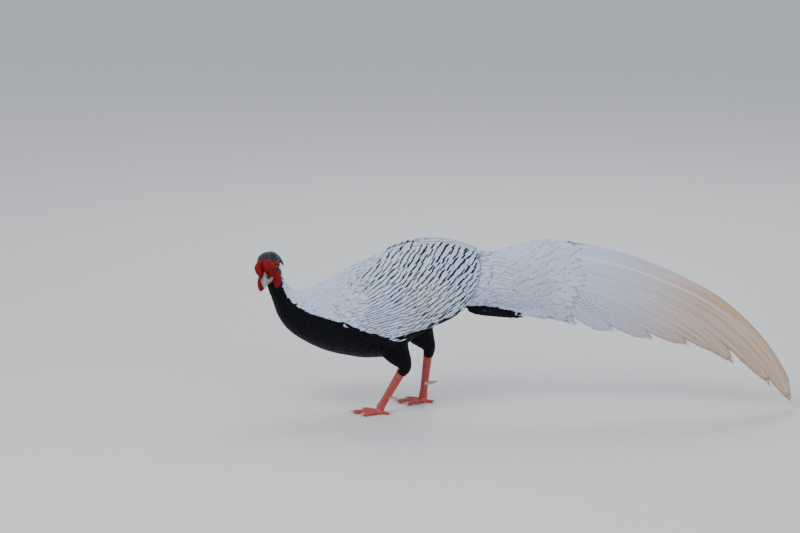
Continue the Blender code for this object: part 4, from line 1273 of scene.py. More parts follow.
def wing_guide(name, side):
    stations, shares = np.linspace(WING_FRONT + 0.2, WING_REAR, 60), np.linspace(-0.08, 1.14, 48)
    return guide_grid(name, [[wing_guide_point(s, h, side) for h in shares] for s in stations])


def body_middle(co):
    """The nearest place on the middle line of the body, for each of many places."""
    return nearest_on(np.array([body_section(s)[0] for s in np.linspace(0, 14, 40)]) + SHIFT, co)


WING_GUIDES = {side: wing_guide(f"wing_guide_{name}", side) for name, side in SIDES}
WING_SURFACES = {side: surface_of(guide, body_middle) for side, guide in WING_GUIDES.items()}
for name, side in SIDES:
    wing_white, wing_black = wing_roots(side, random.Random(SEED + 3))
    coat = grow_coat(f"wing_feathers_{name}", wing_white, FINE_VANES, WING_GUIDES[side], WHITE_PLUMAGE)
    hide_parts(f"wing_{name}")
    grow_coat(f"flank_feathers_{name}", wing_black, FINE_VANES, WING_GUIDES[side], BLACK_PLUMAGE)

# %% [markdown]
# The thighs wear small black feathers down to the bare shank.

# %% Thigh tract
THIGH_AROUND = 20


def thigh_roots(leg, chance):
    places, radii = thigh_line(leg)
    rings = limb_rings(places, radii, THIGH_AROUND)
    roots = []
    for r in range(1, len(rings) - 2):
        for k in range(THIGH_AROUND):
            here = rings[r][(k + r // 2) % THIGH_AROUND]
            behind = rings[r + 1][(k + r // 2) % THIGH_AROUND]
            share = r / len(rings)
            roots.append(root(chance, SKIN_SURFACE, here, behind, mix(0.020, 0.011, share),
                              mix(0.0095, 0.0050, share), -0.0004, mix(0.0034, 0.0020, share)))
    return roots


for order, (name, leg) in enumerate(LEGS.items()):
    grow_coat(f"thigh_feathers_{name}", thigh_roots(leg, random.Random(SEED + order)), SMALL_VANES, skin,
              BLACK_PLUMAGE)

# %% [markdown]
# The tail is a roof of long feathers, folded along its ridge, the middle pair longest and on top.
# Each one is a leaf laid on the tail's own surface, a layer below the one above it. It is too long
# for the repeated leaf, so it is drawn from its root to its tip, and its edges are split into barbs
# afterwards. Its marks come with it: the outer ones carry faint lines, and the ends are buff.

# %% Long tail feathers
QUILL_START = 0.058
ROOT_DEPTH, ROOT_STEP = 0.024, 0.0085
LAYER = 0.0004
TAIL_LEAF = 0.0003
TAIL_ARCH = 0.0007
RIDGE_GAP = 0.0004
# From the middle pair outwards: reach along the ridge, depth of the tip below it, half width.
TAIL_FEATHERS = [
    (0.676, 0.014, 0.0265),
    (0.628, 0.036, 0.0255),
    (0.545, 0.070, 0.0225),
    (0.500, 0.080, 0.0235),
    (0.438, 0.103, 0.0225),
    (0.358, 0.124, 0.0215),
    (0.274, 0.138, 0.0205),
    (0.182, 0.139, 0.0185),
]
TAIL_ROWS, TAIL_COLUMNS = 72, 13
TAIL_GAP = 0.0075
# Buff of the tail: distance along the ridge and its strength.
TAIL_CREAM = [(0.10, 0.03), (0.22, 0.16), (0.32, 0.48), (0.42, 0.92), (0.50, 1.00), (0.68, 1.00)]


def depth_angle(distance, depth):
    """The angle from the ridge at which the tail's surface lies that deep below it."""
    half_height, half_width = lookup(TAIL_SECTION, distance)
    least = RIDGE_GAP / half_width
    return max(least, math.acos(min(1.0, max(-0.95, 1 - depth / half_height))))


def tail_normal(distance, angle, side):
    down = ridge_at(distance)[1]
    half_height, half_width = lookup(TAIL_SECTION, distance)
    sideways = np.array([0.0, side * math.sin(angle) / half_width, 0.0])
    return unit(-down * math.cos(angle) / half_height + sideways)


def tail_place(order, side, run, across):
    """A place on a tail feather, its outward direction, its distance along the ridge and half width."""
    reach, tip_depth, half_width = TAIL_FEATHERS[order]
    distance = mix(QUILL_START, reach, run)
    depth = mix(ROOT_DEPTH + ROOT_STEP * order, tip_depth, smooth(run) * 0.5 + run * 0.5)
    width = half_width * vane_width(run, 0.5, 0.3, 0.72, 0.20)
    angle = depth_angle(distance, max(0.0, depth + across * width))
    height = -order * LAYER + TAIL_ARCH * (1 - across**4)
    return tail_point(distance, angle, height, side), tail_normal(distance, angle, side), distance, width


def leaf_grid(places, normals, thickness):
    """A closed leaf on a grid of places, its two faces sharing their rim."""
    rows, columns = places.shape[:2]
    points = [p + n * thickness * 0.5 for p, n in zip(places.reshape(-1, 3), normals.reshape(-1, 3))]
    under, grid = {}, list(range(rows * columns))
    for r in range(rows):
        for k in range(columns):
            a = r * columns + k
            if r in (0, rows - 1) or k in (0, columns - 1):
                under[a] = a
            else:
                under[a] = len(points)
                points.append(places[r, k] - normals[r, k] * thickness * 0.5)
                grid.append(a)
    faces = []
    for r in range(rows - 1):
        for k in range(columns - 1):
            a = r * columns + k
            quad = (a, a + 1, a + columns + 1, a + columns)
            faces.append(quad)
            faces.append(tuple(under[v] for v in quad[::-1]))
    return points, faces, grid


def tail_leaf(order, side, chance):
    """Points, faces and stored numbers of one long feather."""
    runs, acrosses = np.linspace(0, 1, TAIL_ROWS), np.linspace(-1, 1, TAIL_COLUMNS)
    places, normals, cream, width_at = [], [], [], []
    for run in runs:
        for across in acrosses:
            ragged = chance.uniform(0.90, 1.0) if abs(across) > 0.99 and run > 0.3 else 1.0
            place, normal, distance, width = tail_place(order, side, run, across * ragged)
            places.append(place)
            normals.append(normal)
            cream.append(lookup(TAIL_CREAM, distance)[0])
            width_at.append(width * 2)
    places, normals = (np.array(rows).reshape(TAIL_ROWS, TAIL_COLUMNS, 3) for rows in (places, normals))
    points, faces, grid = leaf_grid(places, normals, TAIL_LEAF)
    across_at = np.tile(acrosses, TAIL_ROWS)[grid]
    run_at = np.repeat(runs, TAIL_COLUMNS)[grid]
    return points, faces, across_at, run_at, np.array(cream)[grid], np.array(width_at)[grid]


def make_tail(chance):
    points, faces = [], []
    numbers = {key: [] for key in ("across", "run", "cream", "width", "strip", "length", "mark")}
    for order in range(len(TAIL_FEATHERS)):
        for side in (-1, 1):
            leaf, quads, across, run, cream, width = tail_leaf(order, side, chance)
            start = len(points)
            points += leaf
            faces += [tuple(v + start for v in quad) for quad in quads]
            count = len(leaf)
            for key, values in (("across", across), ("run", run), ("cream", cream), ("width", width)):
                numbers[key] += list(values)
            numbers["strip"] += [order * 2 + (side > 0)] * count
            numbers["length"] += [TAIL_FEATHERS[order][0] - QUILL_START] * count
            lined = 0.62 * smooth((order - 3.2) / 1.5)
            numbers["mark"] += list(lined * np.clip(1.35 - 1.1 * run, 0, 1))
    tail = face_outwards(mesh_object("tail_feathers", points, faces))
    vane = tail.data.uv_layers.new(name="Vane")
    baked = tail.data.uv_layers.new(name="OFBake")
    strips = 2 * len(TAIL_FEATHERS)
    for loop in tail.data.loops:
        k = loop.vertex_index
        across, run = 0.5 + 0.5 * numbers["across"][k], numbers["run"][k]
        vane.data[loop.index].uv = (across, run)
        baked.data[loop.index].uv = ((numbers["strip"][k] + 0.06 + 0.88 * across) / strips, 0.01 + 0.98 * run)
    numbers["ahead"] = [reach / TAIL_GAP for reach in numbers["length"]]
    count = len(points)
    numbers.update(tone=[0.9] * count, aside=[3.2] * count, thick=[0.16] * count, rim=[UNMARKED_RIM] * count)
    for key in ("cream", "width", "length", "mark", "tone", "ahead", "aside", "thick", "rim"):
        store(tail, key, numbers[key])
    return tail


tail = make_tail(random.Random(SEED))
done(tail, TAIL_PLUMAGE, ("tail",))

# %% [markdown]
# The edges of the long feathers are loose: single barbs stand off them, longer and wilder towards
# the tip, where the vane frays. The coat tree sets these too, with a thin blade for its leaf and the
# tail as the surface that gives each blade its patch.

# %% Barbs on the edges of the tail


def blade_family(name, count, curl):
    """Thin blades that taper to a point and curl a little to one side."""
    group = bpy.data.collections.new(name)
    for k in range(count):
        bend = curl * (k / (count - 1) * 2 - 1)
        points, faces, run_at, across_at = [], [], [], []
        steps = (0.0, 0.3, 0.6, 0.85)
        for share in steps:
            wide = 0.5 * (1 - share**1.6)
            for x, z in ((-wide, 0.0), (wide, 0.0), (0.0, 0.00022)):
                points.append((x + bend * share**2, share, z))
                run_at.append(share)
                across_at.append(x)
        points.append((bend, 1.0, 0.0))
        run_at.append(1.0)
        across_at.append(0.0)
        for r in range(len(steps) - 1):
            for a, b in ((0, 1), (1, 2), (2, 0)):
                a, b = r * 3 + a, r * 3 + b
                faces.append((a, a + 3, b + 3, b))
        last, tip = (len(steps) - 1) * 3, len(points) - 1
        faces += [(last, tip, last + 1), (last + 1, tip, last + 2), (last + 2, tip, last), (0, 1, 2)]
        mesh = bpy.data.meshes.new(f"{name}_{k}")
        mesh.from_pydata(points, [], faces)
        obj = bpy.data.objects.new(f"{name}_{k}", mesh)
        face_outwards(obj)
        uv = mesh.uv_layers.new(name="Vane")
        for loop in mesh.loops:
            uv.data[loop.index].uv = (0.5 + across_at[loop.vertex_index], run_at[loop.vertex_index])
        store(obj, "across", across_at)
        store(obj, "run", run_at)
        store(obj, "rise", [0.0] * len(points))
        group.objects.link(obj)
    return group


BLADES = blade_family("blade", VARIANTS, 2.2)
BARB_STEP = 0.0016
FRAY_FROM = 0.72
# Length and width of a barb on the edge and where the vane frays, and how far it stands off.
BARB_LENGTHS, BARB_WIDTHS, BARB_SPLAY = (0.009, 0.018), (0.0007, 0.0012), (0.34, 0.12)


def tail_barbs(chance):
    roots = []
    for order, (reach, *_) in enumerate(TAIL_FEATHERS):
        count = int((reach - QUILL_START) / BARB_STEP)
        for side in (-1, 1):
            for k in range(count):
                run = 0.16 + 0.84 * (k / count)
                fray = smooth((run - FRAY_FROM) / (1 - FRAY_FROM))
                for edge in ((1,) if order == 0 and run < 0.8 else (-1, 1)):
                    if chance.random() > 0.55 + 0.4 * fray:
                        continue
                    inner = edge * mix(0.88, chance.uniform(0.2, 0.85), fray)
                    here, out, distance, _ = tail_place(order, side, run, inner)
                    ahead = tail_place(order, side, min(1.0, run + 0.01), inner)[0]
                    if run > 0.985:
                        ahead = here + (here - tail_place(order, side, run - 0.01, inner)[0])
                    flow = unit(ahead - here)
                    outer, within = (tail_place(order, side, run, edge * s)[0] for s in (1, 0.8))
                    away = unit(outer - within)
                    lie = unit(flow + away * mix(*BARB_SPLAY, fray) * chance.uniform(0.6, 1.3))
                    roots.append({
                        "place": here + SHIFT, "out": out, "flow": lie, "kind": chance.randrange(VARIANTS),
                        "length": mix(*BARB_LENGTHS, fray) * chance.uniform(0.6, 1.15),
                        "width": mix(*BARB_WIDTHS, fray), "low": 0.0, "high": chance.uniform(0.0, 0.0006),
                        "cream": lookup(TAIL_CREAM, distance)[0], "tone": chance.uniform(0.7, 1.0),
                        "rim": UNMARKED_RIM})
    return roots


barb_roots = tail_barbs(random.Random(SEED + 9))
print(len(barb_roots), "barbs")
grow_coat("tail_barbs", barb_roots, BLADES, tail, TAIL_PLUMAGE, hug=0.0, unwrapped=tail)

# %% [markdown]
# Where the tail leaves the body it is roofed by its coverts: soft white feathers with fine grey
# chevrons. They lie on a guide just over the long feathers, in rows that shorten down the side.

# %% Upper tail coverts
COVERT_LIFT, COVERT_GAP = 0.0006, 0.0060
COVERT_START, COVERT_END, COVERT_STEP = -0.017, 0.142, 0.0105
# From this distance on each covert has chevrons of its own, and no longer the rump's lines.
CHEVRONS_FROM = 0.018
LOWEST_ANGLE = 2.75


def tail_guide_point(distance, share, side):
    """A place just over the long feathers, at a share of the way down the side."""
    held = max(0.0, distance)
    angle = mix(0.015, LOWEST_ANGLE, share)
    lift = COVERT_LIFT + TAIL_ARCH - 0.0065 * smooth((0.05 - held) / 0.05)
    lift -= 0.0026 * share * smooth((held - 0.07) / 0.04)
    skirt = max(0.0, share - 1.0) * 0.042 * smooth((0.15 - held) / 0.07)
    under = np.array([0.0, 0.0, skirt]) + np.array([0.97, 0.0, 0.1]) * (held - distance)
    return tail_point(held, min(angle, LOWEST_ANGLE), lift, side) - under


def tail_guide(name, side):
    distances, shares = np.linspace(-0.02, 0.30, 64), np.linspace(0.0, 1.35, 54)
    return guide_grid(name, [[tail_guide_point(d, h, side) for h in shares] for d in distances])


def tail_middle(co):
    """The nearest place on the middle line of the tail, for each of many places."""
    line = [ridge_at(d)[0] + ridge_at(d)[1] * 0.06 for d in np.linspace(0, 0.4, 50)]
    return nearest_on(np.array(line) + SHIFT, co)


def covert_roots(side, chance):
    roots, distance, row = [], COVERT_START, 0
    while distance < COVERT_END:
        half_height = lookup(TAIL_SECTION, max(0.0, distance))[0]
        count = int(2.1 * half_height / 0.0085)
        for k in range(int(count * 1.24)):
            share = (k + 0.5 * (row % 2) + 0.2) / count
            if distance > 0.128 - 0.060 * abs(min(share, 1.0) - 0.45) + chance.uniform(-0.008, 0.008):
                continue
            here = tail_guide_point(distance, share, side)
            behind = tail_guide_point(distance + 0.01, min(1.30, share * 1.02), side)
            last = smooth((distance - 0.045) / 0.05)
            length = mix(0.046, 0.072, last * (share < 1)) * chance.uniform(1 - 0.3 * last, 1.0)
            width, high = mix(0.0215, 0.0190, last), mix(0.0008, -0.0002, last)
            made = root(chance, TAIL_SURFACES[side], here, behind, length, width, -0.0004, high,
                        roll=0.0005 * -side, apex=0.3 * side)
            marking(made, chance, "rump", side)
            if distance > CHEVRONS_FROM:
                made.update(phase=chance.random(), ahead=made["length"] / COVERT_GAP, aside=1.7,
                            thick=0.14, mark=0.42)
            edge = mix(0.012, 0.125, smooth((share - 0.12) / 0.55))
            made["mark"] *= smooth((edge - distance) / 0.035) * chance.uniform(0.7, 1.1)
            made["cream"] = 0.10 * chance.random()
            made["tone"] = chance.uniform(0.6, 0.95)
            roots.append(made)
        distance += COVERT_STEP
        row += 1
    return roots


TAIL_GUIDES = {side: tail_guide(f"tail_guide_{name}", side) for name, side in SIDES}
TAIL_SURFACES = {side: surface_of(guide, tail_middle) for side, guide in TAIL_GUIDES.items()}
for name, side in SIDES:
    grow_coat(f"tail_coverts_{name}", covert_roots(side, random.Random(SEED + 5)), FINE_VANES,
              TAIL_GUIDES[side], WHITE_PLUMAGE)

# %% [markdown]
# Under the tail hangs a short tuft of black feathers, longest in the middle. They stand in rings
# round the tuft's own axis, and each looks away from it.

# %% Feathers under the tail
TUFT_LAYERS, TUFT_AROUND = 7, 26
TUFT_HALF_WIDTH, TUFT_HALF_HEIGHT = 0.011, 0.005
# Length, width, and height at the root and at the tip of the tuft's feathers.
TUFT_FEATHER = (0.036, 0.012, 0.0, 0.0026)


def undertail_roots(chance):
    tuft_root, tuft_tip = np.array(UNDERTAIL_ROOT), np.array(UNDERTAIL_TIP)
    axis = unit(tuft_tip - tuft_root)
    length = np.linalg.norm(tuft_tip - tuft_root)
    roots = []
    for layer in range(TUFT_LAYERS):
        for k in range(TUFT_AROUND):
            turn = 2 * math.pi * (k + 0.5 * (layer % 2)) / TUFT_AROUND
            share = 0.04 + 0.62 * layer / (TUFT_LAYERS - 1)
            thick = math.sin(math.pi * min(1.0, 0.25 + share * 0.75)) ** 0.5
            wide, high = math.cos(turn) * TUFT_HALF_WIDTH * thick, math.sin(turn) * TUFT_HALF_HEIGHT * thick
            ring = np.array([0.0, wide, high])
            here = tuft_root + axis * length * share + ring
            behind = here + axis * 0.01 + ring * 0.12
            long = TUFT_FEATHER[0] * (1 - 0.18 * abs(math.cos(turn)))
            made = root(chance, SKIN_SURFACE, here, behind, long, *TUFT_FEATHER[1:])
            made["place"], made["flow"], made["out"] = here + SHIFT, unit(behind - here), unit(ring)
            roots.append(made)
    return roots


undertail = grow_coat("undertail_feathers", undertail_roots(random.Random(SEED + 6)), SMALL_VANES, skin,
                      BLACK_PLUMAGE, hug=0.0)
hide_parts("undertail")

# %% [markdown]
# The cock's face is bare red skin: two folded lobes stand over the bill and a long lappet hangs
# below each eye. Balls for the lobes and the front of the skull are melted into one mass, fine
# enough to be shaped point by point. Folds fan out from the bill, a furrow parts the two lobes,
# and the skin sinks into a socket round each eye. How deep a place lies is stored for its colour.

# %% The red face
HEAD_AXES = np.array([FORWARD, LEFT, UP])
FACE_VOXEL = 0.00055
# Lobes on each side: forward, sideways, up, and their half sizes that way.
FACE_LOBES = [
    (0.0110, 0.0082, 0.0145, 0.0118, 0.0100, 0.0142),
    (0.0060, 0.0000, 0.0145, 0.0120, 0.0070, 0.0150),
    (-0.0030, 0.0126, 0.0112, 0.0120, 0.0078, 0.0100),
    (0.0060, 0.0140, 0.0060, 0.0110, 0.0050, 0.0120),
    (0.0080, 0.0148, -0.0085, 0.0080, 0.0062, 0.0085),
    (0.0040, 0.0158, -0.0190, 0.0112, 0.0072, 0.0150),
    (-0.0040, 0.0138, -0.0095, 0.0095, 0.0066, 0.0130),
    (0.0060, 0.0155, -0.0130, 0.0092, 0.0072, 0.0110),
]
EYE = (0.0055, 0.0166, 0.0060)
EYE_RADIUS = 0.0060


def head_places(obj):
    """A mesh's places as forward, left and up of the head."""
    return (vertices(obj) - SHIFT - HEAD_CENTRE) @ HEAD_AXES.T


def set_head_places(obj, places):
    world = np.asarray(places) @ HEAD_AXES + HEAD_CENTRE + SHIFT
    obj.data.vertices.foreach_set("co", world.astype(np.float32).ravel())
    obj.data.update()


def fade(values, low, high):
    """The soft step for many numbers at once."""
    share = np.clip((values - low) / (high - low), 0, 1)
    return share * share * (3 - 2 * share)


def ripple(places, size, depth):
    """Smooth unevenness: a noise of the given size at each place."""
    return depth * np.array([turbulence.noise(Vector(p) / size) for p in places])


def hollows(obj, rounds, depth):
    """How deep each point lies below its surroundings: 0 on a ridge, 1 in a hollow."""
    ends = np.zeros(len(obj.data.edges) * 2, np.int32)
    obj.data.edges.foreach_get("vertices", ends)
    a, b = ends.reshape(-1, 2).T
    start = vertices(obj)
    count = np.bincount(ends, minlength=len(start))[:, None]
    co = start.copy()
    for _ in range(rounds):
        total = np.zeros_like(co)
        for axis in range(3):
            total[:, axis] = np.bincount(a, co[b, axis], len(co)) + np.bincount(b, co[a, axis], len(co))
        co = 0.4 * co + 0.6 * total / count
    below = np.einsum("ij,ij->i", co - start, vertex_normals(obj))
    return np.clip(0.5 + below / depth, 0, 1)


def face_mass():
    solids = [ball("face", head_point(f, side * s, u), sizes, HEAD_AXES, 36, 22)
              for side in (-1, 1) for f, s, u, *sizes in FACE_LOBES]
    rings = []
    for place in np.linspace(3.7, len(SKULL) - 1.8, 18):
        forward, wide, high, middle = along(SKULL, place)
        wide, high = wide + 0.0005, high + 0.0005
        rings.append([head_point(forward, wide * math.sin(t), middle + high * math.cos(t))
                      for t in ring_angles(40) if not 2.5 < t < 3.8])
    return melt([*solids, loft("front", rings)], FACE_VOXEL, 10)


def shape_face(face):
    local, normals = head_places(face), vertex_normals(face) @ HEAD_AXES.T
    f, l, u = local.T
    aside = np.abs(l)
    fan = np.abs(np.degrees(np.arctan2(l, u + 0.024))) + ripple(local, 0.011, 5.0)
    folds = -np.cos(np.radians(fan * 360 / 15.5))
    brow = fade(u, -0.002, 0.005) * fade(f, 0.002, 0.010)
    creases = -np.cos((f * 0.75 + u * 0.25 + ripple(local, 0.009, 0.0022)) * 2 * math.pi / 0.0048)
    lappet = fade(-u, 0.003, 0.009) * fade(aside, 0.012, 0.017)
    rise = folds * brow * 0.00110 + creases * lappet * 0.00030 + ripple(local, 0.0050, 0.0004)
    rise = rise - 0.0009 * np.exp(-(l / 0.0016) ** 2) * fade(u, 0.000, 0.006) * fade(f, 0.008, 0.014)
    local = local + normals * rise[:, None]
    local[:, 1] += 0.30 * np.minimum(0, local[:, 2] + 0.004)
    ef, el, eu = EYE
    gap = np.hypot(local[:, 0] - ef, (local[:, 2] - eu) * 1.12)
    socket = fade(gap, 0.0062, 0.0110)
    floor_at = el + 0.0008
    far = np.abs(local[:, 1])
    sunk = np.where(far > floor_at, floor_at + (far - floor_at) * socket, far)
    local[:, 1] = np.sign(local[:, 1]) * sunk
    set_head_places(face, local)
    store(face, "hollow", hollows(face, 14, 0.0011))


def face_material():
    made, tree, shader = new_material("red_face_skin", 0.62, Specular_IOR_Level=0.2, Sheen_Weight=0.05,
                                      Sheen_Roughness=0.5, Sheen_Tint=(1.0, 0.08, 0.08, 1),
                                      Subsurface_Weight=0.08, Subsurface_Scale=0.002)
    place = tree.nodes.new("ShaderNodeTexCoord").outputs["Object"]
    cells = add_node(tree, "ShaderNodeTexVoronoi", Vector=place, Scale=1150.0)
    grain = Wire(tree, cells.outputs["Distance"])
    patchy = noise(tree, 160.0, 3.0)
    hollow = reading(tree, "hollow")
    base = colour_mix(tree, patchy.ramp(0.35, 0.7), (0.160, 0.0004, 0.0010), (0.310, 0.0010, 0.0016))
    # Darker in the hollows of the folds: painted shade.
    base = colour_mix(tree, hollow.ramp(0.45, 0.85) * 0.85, base, (0.070, 0.0010, 0.0020))
    # Lighter on the ridges of the folds: painted highlight.
    base = colour_mix(tree, hollow.ramp(0.42, 0.10) * 0.35, base, (0.450, 0.0080, 0.0100))
    plug(tree, colour_mix(tree, grain.ramp(0.2, 0.7) * 0.45, base, (0.130, 0.0020, 0.0030)),
         shader.inputs["Base Color"])
    bump(tree, shader, grain * -1.0, 0.0004, 0.6)
    return made


face = face_mass()
face.name = "face"
shape_face(face)
done(face, face_material(), ("wattle_left", "wattle_right"))
FACE_TREE = search_tree(face)

# %% [markdown]
# The eyes are as deep as real ones: a ball whose front is raised to a cornea, with the angle from
# the way it looks stored for the pupil and the iris. Two lids lie on it as one almond-shaped ring,
# rolled at its edge and wrinkled, and run under the skin of the socket.

# %% Eyes and lids
CORNEA_RISE, CORNEA_ANGLE = 0.0006, 0.62
# Angles from the gaze: the pupil's edge, the iris's dark rim, and the lids' outer edge.
PUPIL_ANGLE, IRIS_RIM, LID_ANGLE = 0.47, 0.70, 1.55


def gaze_axes(side):
    gaze = unit(LEFT * side + FORWARD * 0.24 + UP * 0.04)
    fore = unit(FORWARD - gaze * np.dot(FORWARD, gaze))
    return gaze, fore, np.cross(gaze, fore) * side


def eye_point(side, polar, turn, radius):
    gaze, fore, up = gaze_axes(side)
    around = fore * math.cos(turn) + up * math.sin(turn)
    centre = head_point(EYE[0], side * EYE[1], EYE[2])
    return centre + (gaze * math.cos(polar) + around * math.sin(polar)) * radius


def make_eye(name, side):
    polars = np.linspace(0.02, 2.3, 30)
    turns = ring_angles(48)
    radii = EYE_RADIUS + CORNEA_RISE * np.exp(-((polars / CORNEA_ANGLE) ** 4))
    eye = loft(name, [[eye_point(side, p, t, r) for t in turns] for p, r in zip(polars, radii)])
    store(eye, "polar", np.repeat(polars, len(turns)))
    store(eye, "turn", np.tile([math.sin(5 * t) for t in turns], len(polars)))
    return eye


def eye_material():
    made, tree, shader = new_material("eye_gloss", 0.03, Specular_IOR_Level=0.28)
    polar = reading(tree, "polar")
    streaks = noise(tree, 2600.0, 3.0) + reading(tree, "turn") * 0.10
    iris = colour_mix(tree, streaks.ramp(0.3, 0.75), (0.010, 0.004, 0.003), (0.055, 0.018, 0.007))
    iris = colour_mix(tree, polar.ramp(IRIS_RIM, 0.86), iris, (0.012, 0.006, 0.004))
    eye = colour_mix(tree, polar.ramp(0.52, PUPIL_ANGLE), iris, (0.0015, 0.0015, 0.002))
    plug(tree, eye, shader.inputs["Base Color"])
    return made


def make_lids(name, side):
    """A ring from the edge of the opening outwards over the ball, and back inside it."""
    turns, shares = ring_angles(72), np.linspace(0, 1, 9)
    rings, rim = [], []
    for turn in turns:
        opening = 0.66 + 0.28 * abs(math.cos(turn)) ** 1.5 - 0.05 * math.sin(turn)
        wrinkle = 0.00012 * math.sin(turn * 17)
        outer = []
        for share in shares:
            rolled = 0.0007 * math.sin(math.pi * min(1.0, 0.18 + share * 0.9)) ** 0.5
            crease = 0.0003 * math.cos(share * 4 * math.pi) + wrinkle * share
            height = EYE_RADIUS + 0.0001 + rolled - crease * 0.6
            outer.append(eye_point(side, mix(opening, LID_ANGLE, share), turn, height))
        inner = [eye_point(side, mix(opening, LID_ANGLE, s), turn, EYE_RADIUS - 0.0003) for s in shares[::-1]]
        rings.append(outer + inner)
        rim += [*shares, *shares[::-1]]
    count = len(rings[0])
    points = [p for ring in rings for p in ring]
    faces = []
    for r in range(len(rings)):
        here, after = r * count, (r + 1) % len(rings) * count
        around = [(k, (k + 1) % count) for k in range(count)]
        faces += [(here + a, here + b, after + b, after + a) for a, b in around]
    lids = face_outwards(mesh_object(name, points, faces))
    store(lids, "rim", rim)
    return lids


def lid_material():
    made, tree, shader = new_material("lid_skin", 0.5, Specular_IOR_Level=0.4)
    fine = noise(tree, 1500.0, 2.0)
    base = colour_mix(tree, fine, (0.120, 0.003, 0.005), (0.240, 0.010, 0.012))
    plug(tree, colour_mix(tree, reading(tree, "rim").ramp(0.16, 0.02), base, (0.030, 0.006, 0.006)),
         shader.inputs["Base Color"])
    bump(tree, shader, fine, 0.0003, 0.5)
    return made


EYE_GLOSS, LID_SKIN = eye_material(), lid_material()
for name, side in SIDES:
    done(make_eye(f"eyeball_{name}", -side), EYE_GLOSS, (f"eye_{name}",))
    done(make_lids(f"lids_{name}", -side), LID_SKIN)

# %% [markdown]
# The bill is pale greenish horn. Its upper half has a rounded ridge that curves down into a hooked
# tip, a cutting edge that overhangs the lower half, and on each side a hollow with the nostril
# under a horny flap. The gap between the halves is the mouth line.

# %% Bill
BILL_START, BILL_LENGTH = 0.0160, 0.0275
BILL_HALF_WIDTH, BILL_TOP, BILL_DROP, MOUTH_HEIGHT = 0.0130, 0.0105, 0.0200, -0.0050
MOUTH_DROP, HOOK_DROP = 0.0042, 0.0012
NOSTRIL_FORWARD, NOSTRIL_UP, NOSTRIL_LENGTH = 0.0252, 0.0008, 0.0027
# Half an outline of each half of the bill: sideways and up, as shares of its width and height.
UPPER_BILL = [(0, 1.0), (0.16, 0.985), (0.32, 0.93), (0.48, 0.83), (0.62, 0.70), (0.74, 0.55), (0.85, 0.38),
              (0.94, 0.20), (1.0, 0.03), (0.985, -0.06), (0.90, -0.02), (0.70, 0.06), (0.35, 0.10), (0, 0.11)]
LOWER_BILL = [(0, 0.10), (0.50, 0.06), (0.86, 0.0), (0.92, 0.10), (0.90, 0.28), (0.80, 0.52), (0.62, 0.76),
              (0.34, 0.94), (0, 1.0)]


def bill_rings(shape, upper):
    """Rings from the base to the tip; the base of the upper half is hollow at its sides."""
    rings = []
    for share in np.linspace(0, 1, 44) ** 0.85:
        reach = share if upper else share * 0.86
        wide = BILL_HALF_WIDTH * (1 - reach) ** 0.72 * (1 - 0.10 * reach) + 0.0005
        hook = HOOK_DROP * smooth((reach - 0.86) / 0.14) if upper else 0.0
        mouth = MOUTH_HEIGHT - MOUTH_DROP * reach**1.6 - hook
        top = max(BILL_TOP - BILL_DROP * reach**1.7, mouth + 0.0008)
        fall = 0.0054 * (1 - share) ** 0.7 + 0.0005
        if upper:
            full = smooth((reach - 0.15) / 0.45)
            ring = []
            for w, h in shape:
                hollow = h * (1 - 0.55 * math.sin(math.pi * w) ** 2 * (h > 0.15))
                ring.append((w * wide, mouth + (top - mouth) * mix(hollow, h, full)))
        else:
            ring = [(w * wide, mouth - 0.0005 - fall * h) for w, h in shape]
        ring += [(-w, h) for w, h in ring[-2:0:-1]]
        forward = BILL_START + BILL_LENGTH * reach
        rings.append([head_point(forward, w + 0.0014 * reach**2, h) for w, h in ring])
    return rings


def make_bill(name, shape, upper):
    bill = loft(name, bill_rings(shape, upper))
    step = bill.modifiers.new("smooth", "SUBSURF")
    step.levels = step.render_levels = 1
    evaluated(bill)
    local, normals = head_places(bill), vertex_normals(bill) @ HEAD_AXES.T
    f, l, u = local.T
    rise = ripple(local, 0.0035, 0.00022) + ripple(local * (0.25, 1, 1), 0.0010, 0.00008)
    if upper:
        ahead = (f - NOSTRIL_FORWARD) / NOSTRIL_LENGTH
        over = u - NOSTRIL_UP - 0.30 * (NOSTRIL_FORWARD - f)
        side = fade(np.abs(l), 0.004, 0.007)
        rise = rise - 0.0016 * np.exp(-(ahead**2) - (over / 0.0009) ** 2) * side
        rise = rise + 0.0007 * np.exp(-((ahead * 0.8) ** 2) - ((over - 0.0021) / 0.0012) ** 2) * side
        reach = np.clip((f - BILL_START) / BILL_LENGTH, 0, 1)
        above = u - MOUTH_HEIGHT + MOUTH_DROP * reach**1.6
        # A recess at the base of the upper half: sunk a little here, and coloured dark in the material as
        # painted shade.
        shaded_recess = fade(np.abs(l), 0.0030, 0.0052) * fade(above, 0.0028, 0.0042) * fade(-reach, -0.46, -0.34)
        rise = rise - 0.0005 * shaded_recess
    set_head_places(bill, local + normals * rise[:, None])
    store(bill, "hollow", hollows(bill, 12, 0.0008))
    store(bill, "shaded_recess", shaded_recess if upper else f * 0)
    store(bill, "ahead", (f - BILL_START) / BILL_LENGTH)
    return bill


